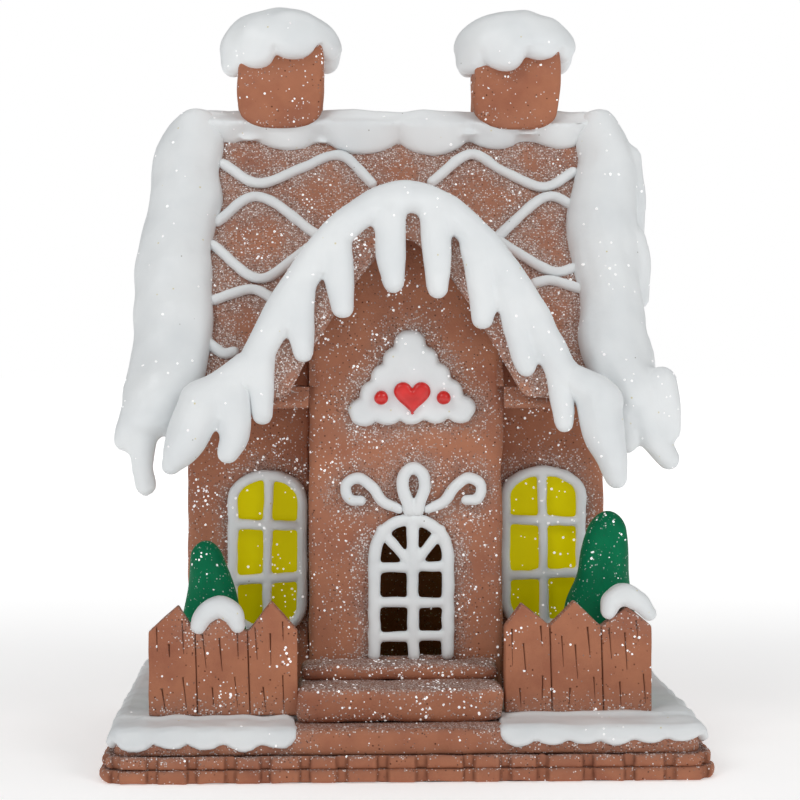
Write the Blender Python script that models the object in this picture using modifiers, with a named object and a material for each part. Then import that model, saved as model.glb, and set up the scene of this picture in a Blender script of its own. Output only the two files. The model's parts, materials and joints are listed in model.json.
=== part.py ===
"""Gingerbread house ornament: clay-dough walls on a brick-edged base, with piped icing and heavy snow.

All sizes are millimetres and the helpers turn them into Blender's metres. X runs to the right of the
front, Y to the back and Z up. The origin is the centre of the base's underside.
"""

import math

import bmesh
import bpy
from mathutils import Matrix, Vector

# ---------------------------------------------------------------- driving dimensions
MM = 0.001
GAP = 0.3  # clearance between pieces that touch

BASE_WIDTH, BASE_DEPTH = 182.0, 141.0
COURSE_HEIGHT = 4.4
DECK_Z = 15.0  # top of the base slab
SNOW_Z = 17.0  # top of the snow that covers the yard

WALL_LEFT, WALL_RIGHT = -68.5, 65.5
WALL_FRONT, WALL_BACK = -7.0, 47.0
WALL = 4.5

PORCH_LEFT, PORCH_RIGHT, PORCH_FRONT = -29.5, 31.0, -25.0
PORCH_MIDDLE = (PORCH_LEFT + PORCH_RIGHT) / 2
STEP_Z = 30.0  # the porch floor and upper step

RIDGE_Y, RIDGE_Z = 20.0, 200.0
ROOF_RISE = 1.72  # height lost for each millimetre away from the ridge
ROOF_HALF_WIDTH = 75.0
ROOF_RUN_FRONT, ROOF_RUN_BACK = 50.0, 44.0
ROOF_THICKNESS = 5.0
EAVE_EDGE = 2.5  # height of the square edge along each eave

PORCH_ROOF_FRONT = -41.0
SNOW_THICKNESS = 5.0  # snow over the porch roof

ROPE_RADIUS = 1.45  # piped icing on the roof

SNOW_VOXEL = 1.6
CUT_LOW = 60.0  # cutters for the upper storey reach down to here
BROWN = ("ginger_clay", (0.38, 0.142, 0.078), 0.62)
WHITE = ("white_icing", (0.80, 0.82, 0.84), 0.38)
GREEN = ("green_clay", (0.0, 0.19, 0.075), 0.55)
RED = ("red_clay", (0.73, 0.02, 0.015), 0.4)
YELLOW = ("yellow_film", (0.58, 0.52, 0.005), 0.25)


# ---------------------------------------------------------------- helpers
for old in list(bpy.data.objects):
    bpy.data.objects.remove(old, do_unlink=True)
house = bpy.data.collections.new("gingerbread_house")
bpy.context.scene.collection.children.link(house)


def material(paint):
    name, colour, roughness = paint
    made = bpy.data.materials.get(name)
    if made is None:
        made = bpy.data.materials.new(name)
        made.use_nodes = True
        shader = made.node_tree.nodes["Principled BSDF"]
        shader.inputs["Base Color"].default_value = (*colour, 1.0)
        shader.inputs["Roughness"].default_value = roughness
        shader.inputs["Metallic"].default_value = 0.0
    return made


def metres(*point):
    return Vector(point) * MM


def link(name, data, paint):
    made = bpy.data.objects.new(name, data)
    data.materials.clear()
    data.materials.append(material(paint))
    house.objects.link(made)
    return made


def evaluated_mesh(made):
    bpy.context.view_layer.update()
    graph = bpy.context.evaluated_depsgraph_get()
    return bpy.data.meshes.new_from_object(made.evaluated_get(graph))


def as_mesh(made, paint):
    """The object's shape with its modifiers applied, as a mesh object of the same name and place."""
    data = evaluated_mesh(made)
    name, place, was_curve = made.name, made.matrix_world.copy(), made.type == "CURVE"
    bpy.data.objects.remove(made, do_unlink=True)
    if was_curve:  # its caps are loose
        form = bmesh.new()
        form.from_mesh(data)
        bmesh.ops.remove_doubles(form, verts=form.verts, dist=1e-6)
        form.to_mesh(data)
        form.free()
    solid = link(name, data, paint)
    solid.matrix_world = place
    bpy.context.view_layer.update()
    return solid


def boolean(target, operation, tools, paint, solver="EXACT"):
    """Cuts the tools from the target, or joins them to it, and removes them."""
    for tool in tools:
        step = target.modifiers.new("shape", "BOOLEAN")
        step.operation = operation
        step.solver = solver
        step.object = tool
    name = target.name
    solid = as_mesh(target, paint)
    for tool in tools:
        bpy.data.objects.remove(tool, do_unlink=True)
    solid.name = name
    return solid


def round_edges(made, radius, paint, segments=2):
    bevel = made.modifiers.new("rounded", "BEVEL")
    bevel.width = radius * MM
    bevel.segments = segments
    bevel.limit_method = "ANGLE"
    bevel.angle_limit = math.radians(40)
    return as_mesh(made, paint)


def block(name, low, high, paint=BROWN):
    """A cuboid between two opposite corners."""
    ends = [sorted(pair) for pair in zip(metres(*low), metres(*high))]
    low, high = Vector([pair[0] for pair in ends]), Vector([pair[1] for pair in ends])
    form = bmesh.new()
    bmesh.ops.create_cube(form, size=1.0)
    bmesh.ops.scale(form, vec=high - low, verts=form.verts)
    data = bpy.data.meshes.new(name)
    form.to_mesh(data)
    form.free()
    made = link(name, data, paint)
    made.location = (low + high) / 2
    bpy.context.view_layer.update()
    return made


FACING = {
    "front": (math.pi / 2, 0.0, 0.0),  # outline in X and Z, thickness along Y
    "side": (math.pi / 2, 0.0, math.pi / 2),  # outline in Y and Z, thickness along X
    "top": (0.0, 0.0, 0.0),  # outline in X and Y, thickness along Z
}


def plate(name, outlines, facing, near, far, paint=BROWN):
    """A flat sheet cut to the outlines, between the planes near and far along its thickness."""
    curve = bpy.data.curves.new(name, "CURVE")
    curve.dimensions = "2D"
    curve.fill_mode = "BOTH"
    curve.extrude = abs(far - near) / 2 * MM
    for outline in outlines:
        spline = curve.splines.new("POLY")
        spline.points.add(len(outline) - 1)
        for point, (u, v) in zip(spline.points, outline):
            point.co = (u * MM, v * MM, 0.0, 1.0)
        spline.use_cyclic_u = True
    made = link(name, curve, paint)
    made.rotation_euler = FACING[facing]
    middle = (near + far) / 2
    made.location = metres(*{"front": (0, middle, 0), "side": (middle, 0, 0), "top": (0, 0, middle)}[facing])
    bpy.context.view_layer.update()
    return as_mesh(made, paint)


def tube(name, points, radii, paint=WHITE, sides=6, closed=False):
    """A round tube through the points, whose radius may change along it."""
    if not hasattr(radii, "__len__"):
        radii = [radii] * len(points)
    curve = bpy.data.curves.new(name, "CURVE")
    curve.dimensions = "3D"
    curve.bevel_depth = MM
    curve.bevel_resolution = (sides - 4) // 2
    curve.use_fill_caps = not closed
    spline = curve.splines.new("POLY")
    spline.points.add(len(points) - 1)
    for point, place, radius in zip(spline.points, points, radii):
        point.co = (*metres(*place), 1.0)
        point.radius = radius
    spline.use_cyclic_u = closed
    return as_mesh(link(name, curve, paint), paint)


def smooth_path(points, per_span=4):
    """Points along a smooth curve through the given ones (Catmull-Rom)."""
    knots = [Vector(p) for p in points]
    knots = [2 * knots[0] - knots[1], *knots, 2 * knots[-1] - knots[-2]]
    path = []
    for i in range(1, len(knots) - 2):
        a, b, c, d = knots[i - 1 : i + 3]
        for j in range(per_span):
            t = j / per_span
            bend = (2 * a - 5 * b + 4 * c - d) * t**2 + (3 * b - a - 3 * c + d) * t**3
            path.append(0.5 * (2 * b + (c - a) * t + bend))
    return [*path, knots[-2]]


def pad(form, centre, size, turn=0.0):
    """Adds an ellipsoid with the given half sizes, turned about X, to a soft form."""
    place = Matrix.Translation(metres(*centre)) @ Matrix.Rotation(turn, 4, "X")
    shape = place @ Matrix.Diagonal((*metres(*size), 1.0))
    bmesh.ops.create_uvsphere(form, u_segments=16, v_segments=10, radius=1.0, matrix=shape)


def run(form, points, radii):
    """Adds a tapering run of snow with a rounded end to a soft form."""
    piece = tube("run", points, radii, WHITE, sides=12)
    form.from_mesh(piece.data)
    bpy.data.objects.remove(piece, do_unlink=True)
    tip = points[-1]
    pad(form, tip, (radii[-1],) * 3)


def icicle(form, root, tip, thick, thin, bow=0.0):
    """A hanging drip of snow: thick at the root, thin at the tip, bowed sideways by the given amount."""
    root, tip = Vector(root), Vector(tip)
    points, radii = [], []
    for i in range(6):
        t = i / 5
        points.append(root.lerp(tip, t) + Vector((bow * math.sin(math.pi * t), 0, 0)))
        radii.append(thick + (thin - thick) * t**0.8)
    points[-1].z += thin
    run(form, points, radii)


def soft_solid(name, form, triangles, paint=WHITE, voxel=SNOW_VOXEL, cutters=(), rounding=3):
    """Melts overlapping shapes into one smooth body, cuts it to its neighbours and thins its faces."""
    data = bpy.data.meshes.new(name)
    form.to_mesh(data)
    form.free()
    made = link(name, data, paint)
    melt = made.modifiers.new("melt", "REMESH")
    melt.mode = "VOXEL"
    melt.voxel_size = voxel * MM
    relax = made.modifiers.new("relax", "SMOOTH")
    relax.factor = 0.5
    relax.iterations = rounding
    made = as_mesh(made, paint)
    count = sum(len(face.vertices) - 2 for face in made.data.polygons)
    thin = made.modifiers.new("thin", "DECIMATE")
    thin.ratio = min(1.0, triangles / count)
    made = as_mesh(made, paint)
    return boolean(made, "DIFFERENCE", list(cutters), paint, "MANIFOLD") if cutters else made


def roof_y(z, lift=0.0, side=-1):
    """The Y of the roof's outer face at a height, raised off it by lift; side is -1 in front, 1 behind."""
    slant = math.hypot(1.0, ROOF_RISE)
    return RIDGE_Y + side * ((RIDGE_Z - z) / ROOF_RISE + lift * slant / ROOF_RISE)


def roof_core(below=False):
    """Cutter: the roof slabs and the house under them, with clearance; below also fills under the eaves."""
    slant = math.hypot(1.0, ROOF_RISE)
    top = RIDGE_Z + GAP * slant
    outline = [(RIDGE_Y, top)]
    under = RIDGE_Z - (ROOF_THICKNESS + GAP) * slant
    for sign, run_length, wall in ((-1, ROOF_RUN_FRONT, WALL_FRONT), (1, ROOF_RUN_BACK, WALL_BACK)):
        edge, low = run_length + GAP, RIDGE_Z - run_length * ROOF_RISE - EAVE_EDGE - GAP
        inner, reach = (under - low) / ROOF_RISE, abs(wall - RIDGE_Y) + GAP
        side = [(edge, top - edge * ROOF_RISE)]
        if below:
            side.append((edge, CUT_LOW))
        else:
            side += [(edge, low), (inner, low), (reach, under - reach * ROOF_RISE), (reach, CUT_LOW)]
        side = [(RIDGE_Y + sign * y, z) for y, z in side]
        outline = [*outline, *side] if sign < 0 else [*outline, *reversed(side)]
    return plate("roof_core", [outline], "side", -ROOF_HALF_WIDTH - GAP, ROOF_HALF_WIDTH + GAP)


def arch_outline(x0, x1, bottom, top, shoulder, foot=0.0, steps=8):
    """An opening with a round top and, with foot, rounded lower corners."""
    middle, half = (x0 + x1) / 2, (x1 - x0) / 2
    points = [
        (middle + half * math.cos(a), top - shoulder + shoulder * math.sin(a))
        for a in (math.pi * i / steps for i in range(steps + 1))
    ]
    if not foot:
        return [*points, (x0, bottom), (x1, bottom)]
    for centre, start in ((x0 + foot, 1.0), (x1 - foot, 1.5)):
        for i in range(3):
            a = math.pi * (start + i / 4)
            points.append((centre + foot * math.cos(a), bottom + foot + foot * math.sin(a)))
    return points


# ---------------------------------------------------------------- base: two brick courses and a smooth slab
def rounded_rectangle(width, depth, corner, steps=4):
    points = []
    for sx, sy, start in ((1, 1, 0.0), (-1, 1, 0.5), (-1, -1, 1.0), (1, -1, 1.5)):
        for i in range(steps):
            a = math.pi * (start + 0.5 * i / (steps - 1))
            x = sx * (width / 2 - corner) + corner * math.cos(a)
            points.append((x, sy * (depth / 2 - corner) + corner * math.sin(a)))
    return points


COURSE = COURSE_HEIGHT + GAP
SLAB_INSET = 4.5  # the slab stands back from the lower course by this much
for name, inset, low, high in (
    ("base_course_lower", 0.0, 0.0, COURSE_HEIGHT),
    ("base_course_upper", 1.0, COURSE, COURSE + COURSE_HEIGHT),
    ("base_slab", SLAB_INSET, 2 * COURSE, DECK_Z),
):
    outline = rounded_rectangle(BASE_WIDTH - 2 * inset, BASE_DEPTH - 2 * inset, 9 - inset / 2)
    round_edges(plate(name, [outline], "top", low, high), 1.2, BROWN, 1)

# ---------------------------------------------------------------- steps up to the porch
STEP_LEFT, STEP_RIGHT, STEP_FRONT, STEP_MIDDLE = -33.0, 29.0, -56.0, -40.0
tread = DECK_Z + GAP + 9.8
step = block("step_lower", (STEP_LEFT, STEP_FRONT, DECK_Z + GAP), (STEP_RIGHT, PORCH_FRONT - GAP, tread))
round_edges(step, 1.8, BROWN)
step = block("step_upper", (STEP_LEFT + 1, STEP_MIDDLE, tread + GAP), (STEP_RIGHT, PORCH_FRONT - GAP, STEP_Z))
round_edges(step, 1.5, BROWN)

# ---------------------------------------------------------------- snow over the yard, scalloped round the base's edge
YARD_X, YARD_Y = BASE_WIDTH / 2 - 5.2, BASE_DEPTH / 2 - 5.2
SCALLOP = 10.5


def yard_snow(name, side, inner, drop):
    """One half of the yard's snow: a thin sheet, with round lobes that hang over the slab's edge."""
    form = bmesh.new()
    outer = side * YARD_X
    back_inner = -0.2 * side
    for low_y, high_y, near in ((-YARD_Y, WALL_FRONT, inner), (WALL_FRONT, YARD_Y, back_inner)):
        corners = bmesh.ops.create_cube(form, size=1.0)["verts"]
        thick = SNOW_Z - DECK_Z + 2.5
        bmesh.ops.scale(form, vec=metres(abs(outer - near) + 4, high_y - low_y + 4, thick), verts=corners)
        place = metres((outer + near) / 2 - 2 * side, (low_y + high_y) / 2, SNOW_Z - thick / 2)
        bmesh.ops.translate(form, vec=place, verts=corners)
    for edge_y, near in ((-YARD_Y, inner), (YARD_Y, back_inner)):
        count = round(abs(outer - near) / SCALLOP)
        pitch = (outer - near) / count
        for i in range(count):
            x = near + (i + 0.5) * pitch
            pad(form, (x, edge_y, DECK_Z - drop / 3), (abs(pitch) * 0.56, 3.6, drop))
    count = round(2 * YARD_Y / SCALLOP)
    for i in range(count):
        y = -YARD_Y + (i + 0.5) * 2 * YARD_Y / count
        pad(form, (outer, y, DECK_Z - 1.0), (3.6, YARD_Y / count * 1.12, 3.6))
    slab_x, slab_y = BASE_WIDTH / 2 - SLAB_INSET + GAP, BASE_DEPTH / 2 - SLAB_INSET + GAP
    cutters = [
        block("slab_space", (-slab_x, -slab_y, 0), (slab_x, slab_y, DECK_Z + GAP)),
        block("base_space", (-BASE_WIDTH, -BASE_DEPTH, -5), (BASE_WIDTH, BASE_DEPTH, 2 * COURSE + GAP)),
        block("house_space", (WALL_LEFT - GAP, WALL_FRONT - GAP, 0), (WALL_RIGHT + GAP, WALL_BACK + GAP, 60)),
        block("porch_space", (STEP_LEFT - GAP, STEP_FRONT - 30, 0), (PORCH_RIGHT + GAP, WALL_FRONT + 3, 60)),
        block("other_half", (-side * 100, -90, 0), (side * 0.2, 90, 60)),
    ]
    return soft_solid(name, form, 400, voxel=1.3, cutters=cutters, rounding=1)


yard_snow("snow_ground_left", -1, STEP_LEFT - 0.5, 5.2)
yard_snow("snow_ground_right", 1, STEP_RIGHT - 1.5, 4.2)

# ---------------------------------------------------------------- picket fences
FENCE_THICKNESS = 5.0
FENCE_FOOT = SNOW_Z + 0.5
PICKET_GROOVE = 0.9


def fence(name, left, right, front, tips, shoulder):
    """Three pointed pickets cut from one slab, with a scored groove between them."""
    pitch = (right - left) / 3
    outline = [(left, FENCE_FOOT), (left, shoulder)]
    for i, tip in enumerate(tips):
        outline += [(left + (i + 0.56) * pitch, tip), (left + (i + 1) * pitch, shoulder)]
    outline.append((right, FENCE_FOOT))
    made = plate(name, [outline], "front", front, front + FENCE_THICKNESS)
    grooves = []
    for i in (1, 2):
        x = left + i * pitch
        low = (x - 0.5, front - 1, FENCE_FOOT - 1)
        grooves.append(block("groove", low, (x + 0.5, front + PICKET_GROOVE, shoulder + 9)))
    return boolean(made, "DIFFERENCE", grooves, BROWN)


FENCE_LEFT = (-77.6, -33.4, -51.0)
FENCE_RIGHT = (29.7, 74.8, -49.0)
fence("fence_left", *FENCE_LEFT, (50.0, 46.5, 50.7), 42.0)
fence("fence_right", *FENCE_RIGHT, (50.0, 50.4, 48.6), 42.8)


def fence_snow(name, middle, top, front):
    """A crescent of snow draped over one picket's point."""
    form = bmesh.new()
    y = front + FENCE_THICKNESS / 2
    turns = [math.pi * (1 - i / 6) for i in range(7)]
    arc = [(middle + 6.0 * math.cos(a), y, top - 7.5 + 6.2 * math.sin(a)) for a in turns]
    run(form, arc[:4][::-1], (3.3, 3.1, 2.8, 2.4))
    run(form, arc[3:], (3.3, 3.1, 2.8, 2.4))
    pad(form, (middle, y, top - 4.4), (5.0, 4.4, 4.3))
    low, high = (middle - 30, front - GAP, 0), (middle + 30, front + FENCE_THICKNESS + GAP, top - 4.2)
    pickets = block("picket_space", low, high)
    return soft_solid(name, form, 110, voxel=1.0, cutters=[pickets])


fence_snow("fence_snow_left", -56.8, 50.8, FENCE_LEFT[2])
fence_snow("fence_snow_right", 67.0, 53.6, FENCE_RIGHT[2])


# ---------------------------------------------------------------- small clay trees
TREE_SPREAD, TREE_LEAN = 11.0, 0.09  # growth of the radius to the foot, and sideways shift for each mm down


def tree(name, x, y, apex, tip, lean):
    """A cone with a round tip of the given radius, turned from its profile and then leaned over."""
    height = apex - FENCE_FOOT
    profile = [(0.02, apex)]
    for t in (0.025, 0.06, 0.1, 0.2, 0.35, 0.55, 0.78, 1.0):
        dome = 1 - min(1.0, t / 0.1)
        profile.append((tip * math.sqrt(1 - dome**2) + TREE_SPREAD * t, apex - height * t))
    profile.append((0.02, FENCE_FOOT))
    data = bpy.data.meshes.new(name)
    data.from_pydata([metres(r, 0, z) for r, z in profile], [(i, i + 1) for i in range(len(profile) - 1)], [])
    made = link(name, data, GREEN)
    turn = made.modifiers.new("turn", "SCREW")
    turn.steps = turn.render_steps = 12
    turn.use_merge_vertices = True
    turn.merge_threshold = 0.00005
    turn.use_smooth_shade = True
    cone = as_mesh(made, GREEN)
    for vertex in cone.data.vertices:
        vertex.co.x += lean * (apex * MM - vertex.co.z)
    cone.location = metres(x, y, 0)
    return cone


tree("tree_left", -61.4, -26.5, 67.1, 4.0, TREE_LEAN)
tree("tree_right", 64.1, -26.5, 75.7, 5.0, -TREE_LEAN)


# ---------------------------------------------------------------- walls, hollow inside
def roof_underside(y):
    slant = math.hypot(1.0, ROOF_RISE)
    return RIDGE_Z - abs(y - RIDGE_Y) * ROOF_RISE - ROOF_THICKNESS * slant


WALL_FOOT = DECK_Z + GAP
EAVE_WALL = roof_underside(WALL_FRONT) - GAP
WINDOWS = {"left": (-55.7, -30.1, 35.2, 88.0), "right": (31.6, 59.4, 36.2, 89.2)}
WINDOW_INSET = 1.6  # the frame laps this far over the opening
for side, x0, x1 in (("left", WALL_LEFT, PORCH_LEFT - GAP), ("right", PORCH_RIGHT + GAP, WALL_RIGHT)):
    left, right, bottom, top = WINDOWS[side]
    lap = WINDOW_INSET
    hole = arch_outline(left + lap, right - lap, bottom + lap, top - lap, 8, 7)
    outline = [(x0, WALL_FOOT), (x1, WALL_FOOT), (x1, EAVE_WALL), (x0, EAVE_WALL)]
    plate(f"wall_front_{side}", [outline, hole], "front", WALL_FRONT, WALL_FRONT + WALL)
outline = [(WALL_LEFT, WALL_FOOT), (WALL_RIGHT, WALL_FOOT), (WALL_RIGHT, EAVE_WALL), (WALL_LEFT, EAVE_WALL)]
plate("wall_back", [outline], "front", WALL_BACK - WALL, WALL_BACK)
for side, x0 in (("left", WALL_LEFT), ("right", WALL_RIGHT - WALL)):
    y0, y1 = WALL_FRONT + WALL + GAP, WALL_BACK - WALL - GAP
    outline = [(y0, WALL_FOOT), (y1, WALL_FOOT)]
    outline += [(y, roof_underside(y) - GAP) for y in (y1, RIDGE_Y, y0)]
    plate(f"wall_side_{side}", [outline], "side", x0, x0 + WALL)

# ---------------------------------------------------------------- windows: piped frames over lit yellow film
FRAME_RADIUS = 1.6
BAR_SHARES = (0.34, 0.665)  # heights of the cross bars as shares of the window
for side, (x0, x1, z0, z1) in WINDOWS.items():
    rope = FRAME_RADIUS
    y = WALL_FRONT - GAP - rope
    frame_line = [(x, y, z) for x, z in arch_outline(x0 + rope, x1 - rope, z0 + rope, z1 - rope, 8, 8)]
    frame = tube(f"window_frame_{side}", frame_line, rope, closed=True)
    middle = (x0 + x1) / 2
    bars = [tube("bar", [(middle, y, z0 + rope), (middle, y, z1 - rope)], rope)]
    for share in BAR_SHARES:
        z = z0 + share * (z1 - z0)
        bars.append(tube("bar", [(x0 + rope, y, z), (x1 - rope, y, z)], rope))
    boolean(frame, "UNION", bars, WHITE, "MANIFOLD")
    inset = WINDOW_INSET + GAP
    pane = arch_outline(x0 + inset, x1 - inset, z0 + inset, z1 - inset, 7.7, 6.7)
    plate(f"window_film_{side}", [pane], "front", WALL_FRONT, WALL_FRONT + 1.2, YELLOW)

# ---------------------------------------------------------------- the porch roof's bell curve
def smooth_max(a, b, blend):
    return 0.5 * (a + b + math.hypot(a - b, blend))


BELL_APEX, BELL_FALL, BELL_WIDTH, BELL_POWER = 178.0, 59.0, 54.0, 1.9
BELL_FLARE_Z, BELL_FLARE_FALL, BELL_END = 121.0, 0.4, 66.0
SHEET_THICKNESS, BOARD_THICKNESS = 5.0, 4.0


def bell_height(x, inset=0.0):
    """Height of the finished porch roof, snow included, across the front; inset moves it inwards."""
    dome = BELL_APEX - inset - BELL_FALL * (abs(x) / (BELL_WIDTH - 0.8 * inset)) ** BELL_POWER
    return smooth_max(dome, BELL_FLARE_Z - inset - BELL_FLARE_FALL * (abs(x) - BELL_WIDTH), 2.0)


def bell_line(inset, steps=26):
    """Points of the bell curve from left to right."""
    xs = [BELL_END * (2 * i / steps - 1) for i in range(steps + 1)]
    return [(x, bell_height(x, inset)) for x in xs]


# ---------------------------------------------------------------- porch: tall front wall with a domed gable
DOOR_LEFT, DOOR_RIGHT, DOOR_TOP = -11.2, 15.8, 75.5
DOOR_MIDDLE = (DOOR_LEFT + DOOR_RIGHT) / 2
UNDER_SHEET = SNOW_THICKNESS + SHEET_THICKNESS + 0.4


def porch_outline(grow=0.0, low=WALL_FOOT):
    """The porch front's outline: straight sides up to a gable that fits under its roof."""
    half = (PORCH_RIGHT - PORCH_LEFT) / 2 + grow
    xs = [PORCH_MIDDLE + half * (1 - i / 7) for i in range(15)]
    gable = [(x, bell_height(x, UNDER_SHEET) + grow - GAP) for x in xs]
    return [(PORCH_MIDDLE - half, low), (PORCH_MIDDLE + half, low), *gable]


door_hole = arch_outline(DOOR_LEFT + 2, DOOR_RIGHT - 2, STEP_Z + 1.0, DOOR_TOP - 2, 11.5)
plate("porch_front", [porch_outline(), door_hole], "front", PORCH_FRONT, PORCH_FRONT + WALL)
for side, x0 in (("left", PORCH_LEFT), ("right", PORCH_RIGHT - WALL)):
    low = (x0, PORCH_FRONT + WALL + GAP, WALL_FOOT)
    top = bell_height(PORCH_RIGHT, UNDER_SHEET) - GAP
    block(f"porch_side_{side}", low, (x0 + WALL, WALL_FRONT + WALL, top))

# ---------------------------------------------------------------- door: a piped lattice under a loop and two scrolls
ROPE, THIN_ROPE, UPRIGHT_ROPE = 2.0, 1.6, 1.8
DOOR_Y = PORCH_FRONT - GAP - ROPE
CROSS_Z = (36.9, 47.5, 58.6)
UPRIGHT_X = DOOR_MIDDLE + 0.4
FAN_REACH, FAN_Z = 9.3, 70.2  # the two sloping bars end here, left and right of the middle
left, right, bottom, top = DOOR_LEFT + ROPE, DOOR_RIGHT - ROPE, STEP_Z + GAP, DOOR_TOP - ROPE
arch = [(x, DOOR_Y, z) for x, z in arch_outline(left, right, bottom, top, 11.5)]
door = tube("door_lattice", [arch[-1], *arch[:-1]], ROPE)
bars = [tube("bar", [(left, DOOR_Y, z), (right, DOOR_Y, z)], THIN_ROPE) for z in CROSS_Z]
bars.append(tube("bar", [(UPRIGHT_X, DOOR_Y, bottom), (UPRIGHT_X, DOOR_Y, top)], UPRIGHT_ROPE))
for reach in (-FAN_REACH, FAN_REACH):
    line = [(UPRIGHT_X, DOOR_Y, CROSS_Z[2]), (DOOR_MIDDLE + reach, DOOR_Y, FAN_Z)]
    bars.append(tube("bar", line, THIN_ROPE))
boolean(door, "UNION", bars, WHITE, "MANIFOLD")

LOOP_MIDDLE, LOOP_LOW, LOOP_HIGH = 3.0, DOOR_TOP + GAP + 2.0, 89.9
loop_line = []
for i in range(12):
    a = 2 * math.pi * i / 12
    z = (LOOP_LOW + LOOP_HIGH) / 2 + (LOOP_HIGH - LOOP_LOW) / 2 * math.sin(a)
    loop_line.append((LOOP_MIDDLE + (3.4 + 0.5 * math.sin(a)) * math.cos(a), DOOR_Y, z))
tube("door_loop", loop_line, 1.9, closed=True)
SCROLL = ((7.9, 76.4), (11.5, 81.0), (16.8, 86.6), (21.0, 84.4), (20.0, 79.6), (16.0, 79.2))
for side, sign in (("left", -1), ("right", 1)):
    line = smooth_path([(LOOP_MIDDLE + sign * x, DOOR_Y + 0.2, z) for x, z in SCROLL], 3)
    tube(f"door_scroll_{side}", line, 1.7)

# ---------------------------------------------------------------- plaque on the gable, with a heart and two berries
PLAQUE_Y = PORCH_FRONT - GAP
PLAQUE_CORNERS = ((-16.2, 105.4), (21.2, 106.4), (1.9, 131.6))
SCALLOPS_PER_SIDE, SCALLOP_DEPTH = 5, 1.5
outline = []
for i, (x0, z0) in enumerate(PLAQUE_CORNERS):
    x1, z1 = PLAQUE_CORNERS[(i + 1) % 3]
    out = Vector((z1 - z0, x0 - x1)).normalized()
    for j in range(SCALLOPS_PER_SIDE * 4):
        t = j / (SCALLOPS_PER_SIDE * 4)
        bulge = 1.4 + SCALLOP_DEPTH * abs(math.sin(math.pi * SCALLOPS_PER_SIDE * t))
        outline.append((x0 + (x1 - x0) * t + out.x * bulge, z0 + (z1 - z0) * t + out.y * bulge))
plate("plaque", [outline], "front", PLAQUE_Y - 3.0, PLAQUE_Y, WHITE)

HEART_SIZE, BERRY_RADIUS, MOTIF_Z = 0.36, 2.2, 111.5
heart = []
for i in range(20):
    a = 2 * math.pi * i / 20
    x = 16 * math.sin(a) ** 3
    z = 13 * math.cos(a) - 5 * math.cos(2 * a) - 2 * math.cos(3 * a) - math.cos(4 * a)
    heart.append((2.5 + HEART_SIZE * x, MOTIF_Z + 0.6 + HEART_SIZE * z))
face = PLAQUE_Y - 3.0 - GAP
plate("plaque_heart", [heart], "front", face - 1.8, face, RED)
for side, x in (("left", -7.2), ("right", 12.2)):
    form = bmesh.new()
    bmesh.ops.create_uvsphere(form, u_segments=10, v_segments=6, radius=BERRY_RADIUS * MM)
    data = bpy.data.meshes.new("berry")
    form.to_mesh(data)
    form.free()
    berry = link(f"plaque_berry_{side}", data, RED)
    berry.location = metres(x, face - BERRY_RADIUS, MOTIF_Z)

# ---------------------------------------------------------------- main roof: two slabs that meet at the ridge
for side, run_length, sign in (("front", ROOF_RUN_FRONT, -1), ("back", ROOF_RUN_BACK, 1)):
    slant = ROOF_THICKNESS * math.hypot(1.0, ROOF_RISE)
    near, edge = RIDGE_Y + sign * GAP / 2, RIDGE_Y + sign * run_length
    low = RIDGE_Z - run_length * ROOF_RISE
    inner = edge - sign * (slant - EAVE_EDGE) / ROOF_RISE
    outline = [(near, RIDGE_Z), (edge, low), (edge, low - EAVE_EDGE), (inner, low - EAVE_EDGE)]
    outline.append((near, RIDGE_Z - slant))
    slab = plate(f"roof_{side}", [outline], "side", -ROOF_HALF_WIDTH, ROOF_HALF_WIDTH)
    if side == "front":
        throat = plate("throat", [porch_outline(GAP, CUT_LOW)], "front", -60, WALL_FRONT + WALL)
        boolean(slab, "DIFFERENCE", [throat], BROWN)


# ---------------------------------------------------------------- porch roof: a bell-curved sheet with a bargeboard
BARGE_APEX, BARGE_WIDTH, BARGE_FOOT, BARGE_POWER = 160.5, 36.0, 112.0, 1.45


def barge_line(x):
    """Height of the bargeboard's lower edge across the front."""
    gable = BARGE_APEX - (BARGE_APEX - BARGE_FOOT) * (abs(x) / BARGE_WIDTH) ** BARGE_POWER
    return max(BARGE_FOOT - 0.3 * max(0.0, abs(x) - 44), gable)


sheet_outline = [*bell_line(SNOW_THICKNESS), *reversed(bell_line(SNOW_THICKNESS + SHEET_THICKNESS))]
sheet_front = PORCH_ROOF_FRONT + BOARD_THICKNESS + GAP
sheet = plate("porch_roof", [sheet_outline], "front", sheet_front, RIDGE_Y)
boolean(sheet, "DIFFERENCE", [roof_core(below=True)], BROWN)
board_top = bell_line(SNOW_THICKNESS)[1:-1]
board_outline = [*board_top, *((x, barge_line(x)) for x, z in reversed(board_top))]
plate("porch_board", [board_outline], "front", PORCH_ROOF_FRONT, PORCH_ROOF_FRONT + BOARD_THICKNESS)

# ---------------------------------------------------------------- chimneys astride the ridge
CHIMNEY_FRONT, CHIMNEY_BACK, CHIMNEY_FOOT, CHIMNEY_TOP = 11.0, 29.0, 197.0, 223.0
CHIMNEYS = {"left": (-52.9, -24.9), "right": (24.6, 52.8)}


def chimney_block(name, side, grow=0.0):
    x0, x1 = CHIMNEYS[side]
    low = (x0 - grow, CHIMNEY_FRONT - grow, CHIMNEY_FOOT - grow)
    return block(name, low, (x1 + grow, CHIMNEY_BACK + grow, CHIMNEY_TOP + grow))


for side in CHIMNEYS:
    chimney = round_edges(chimney_block(f"chimney_{side}", side), 3.0, BROWN)
    boolean(chimney, "DIFFERENCE", [roof_core()], BROWN)

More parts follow.
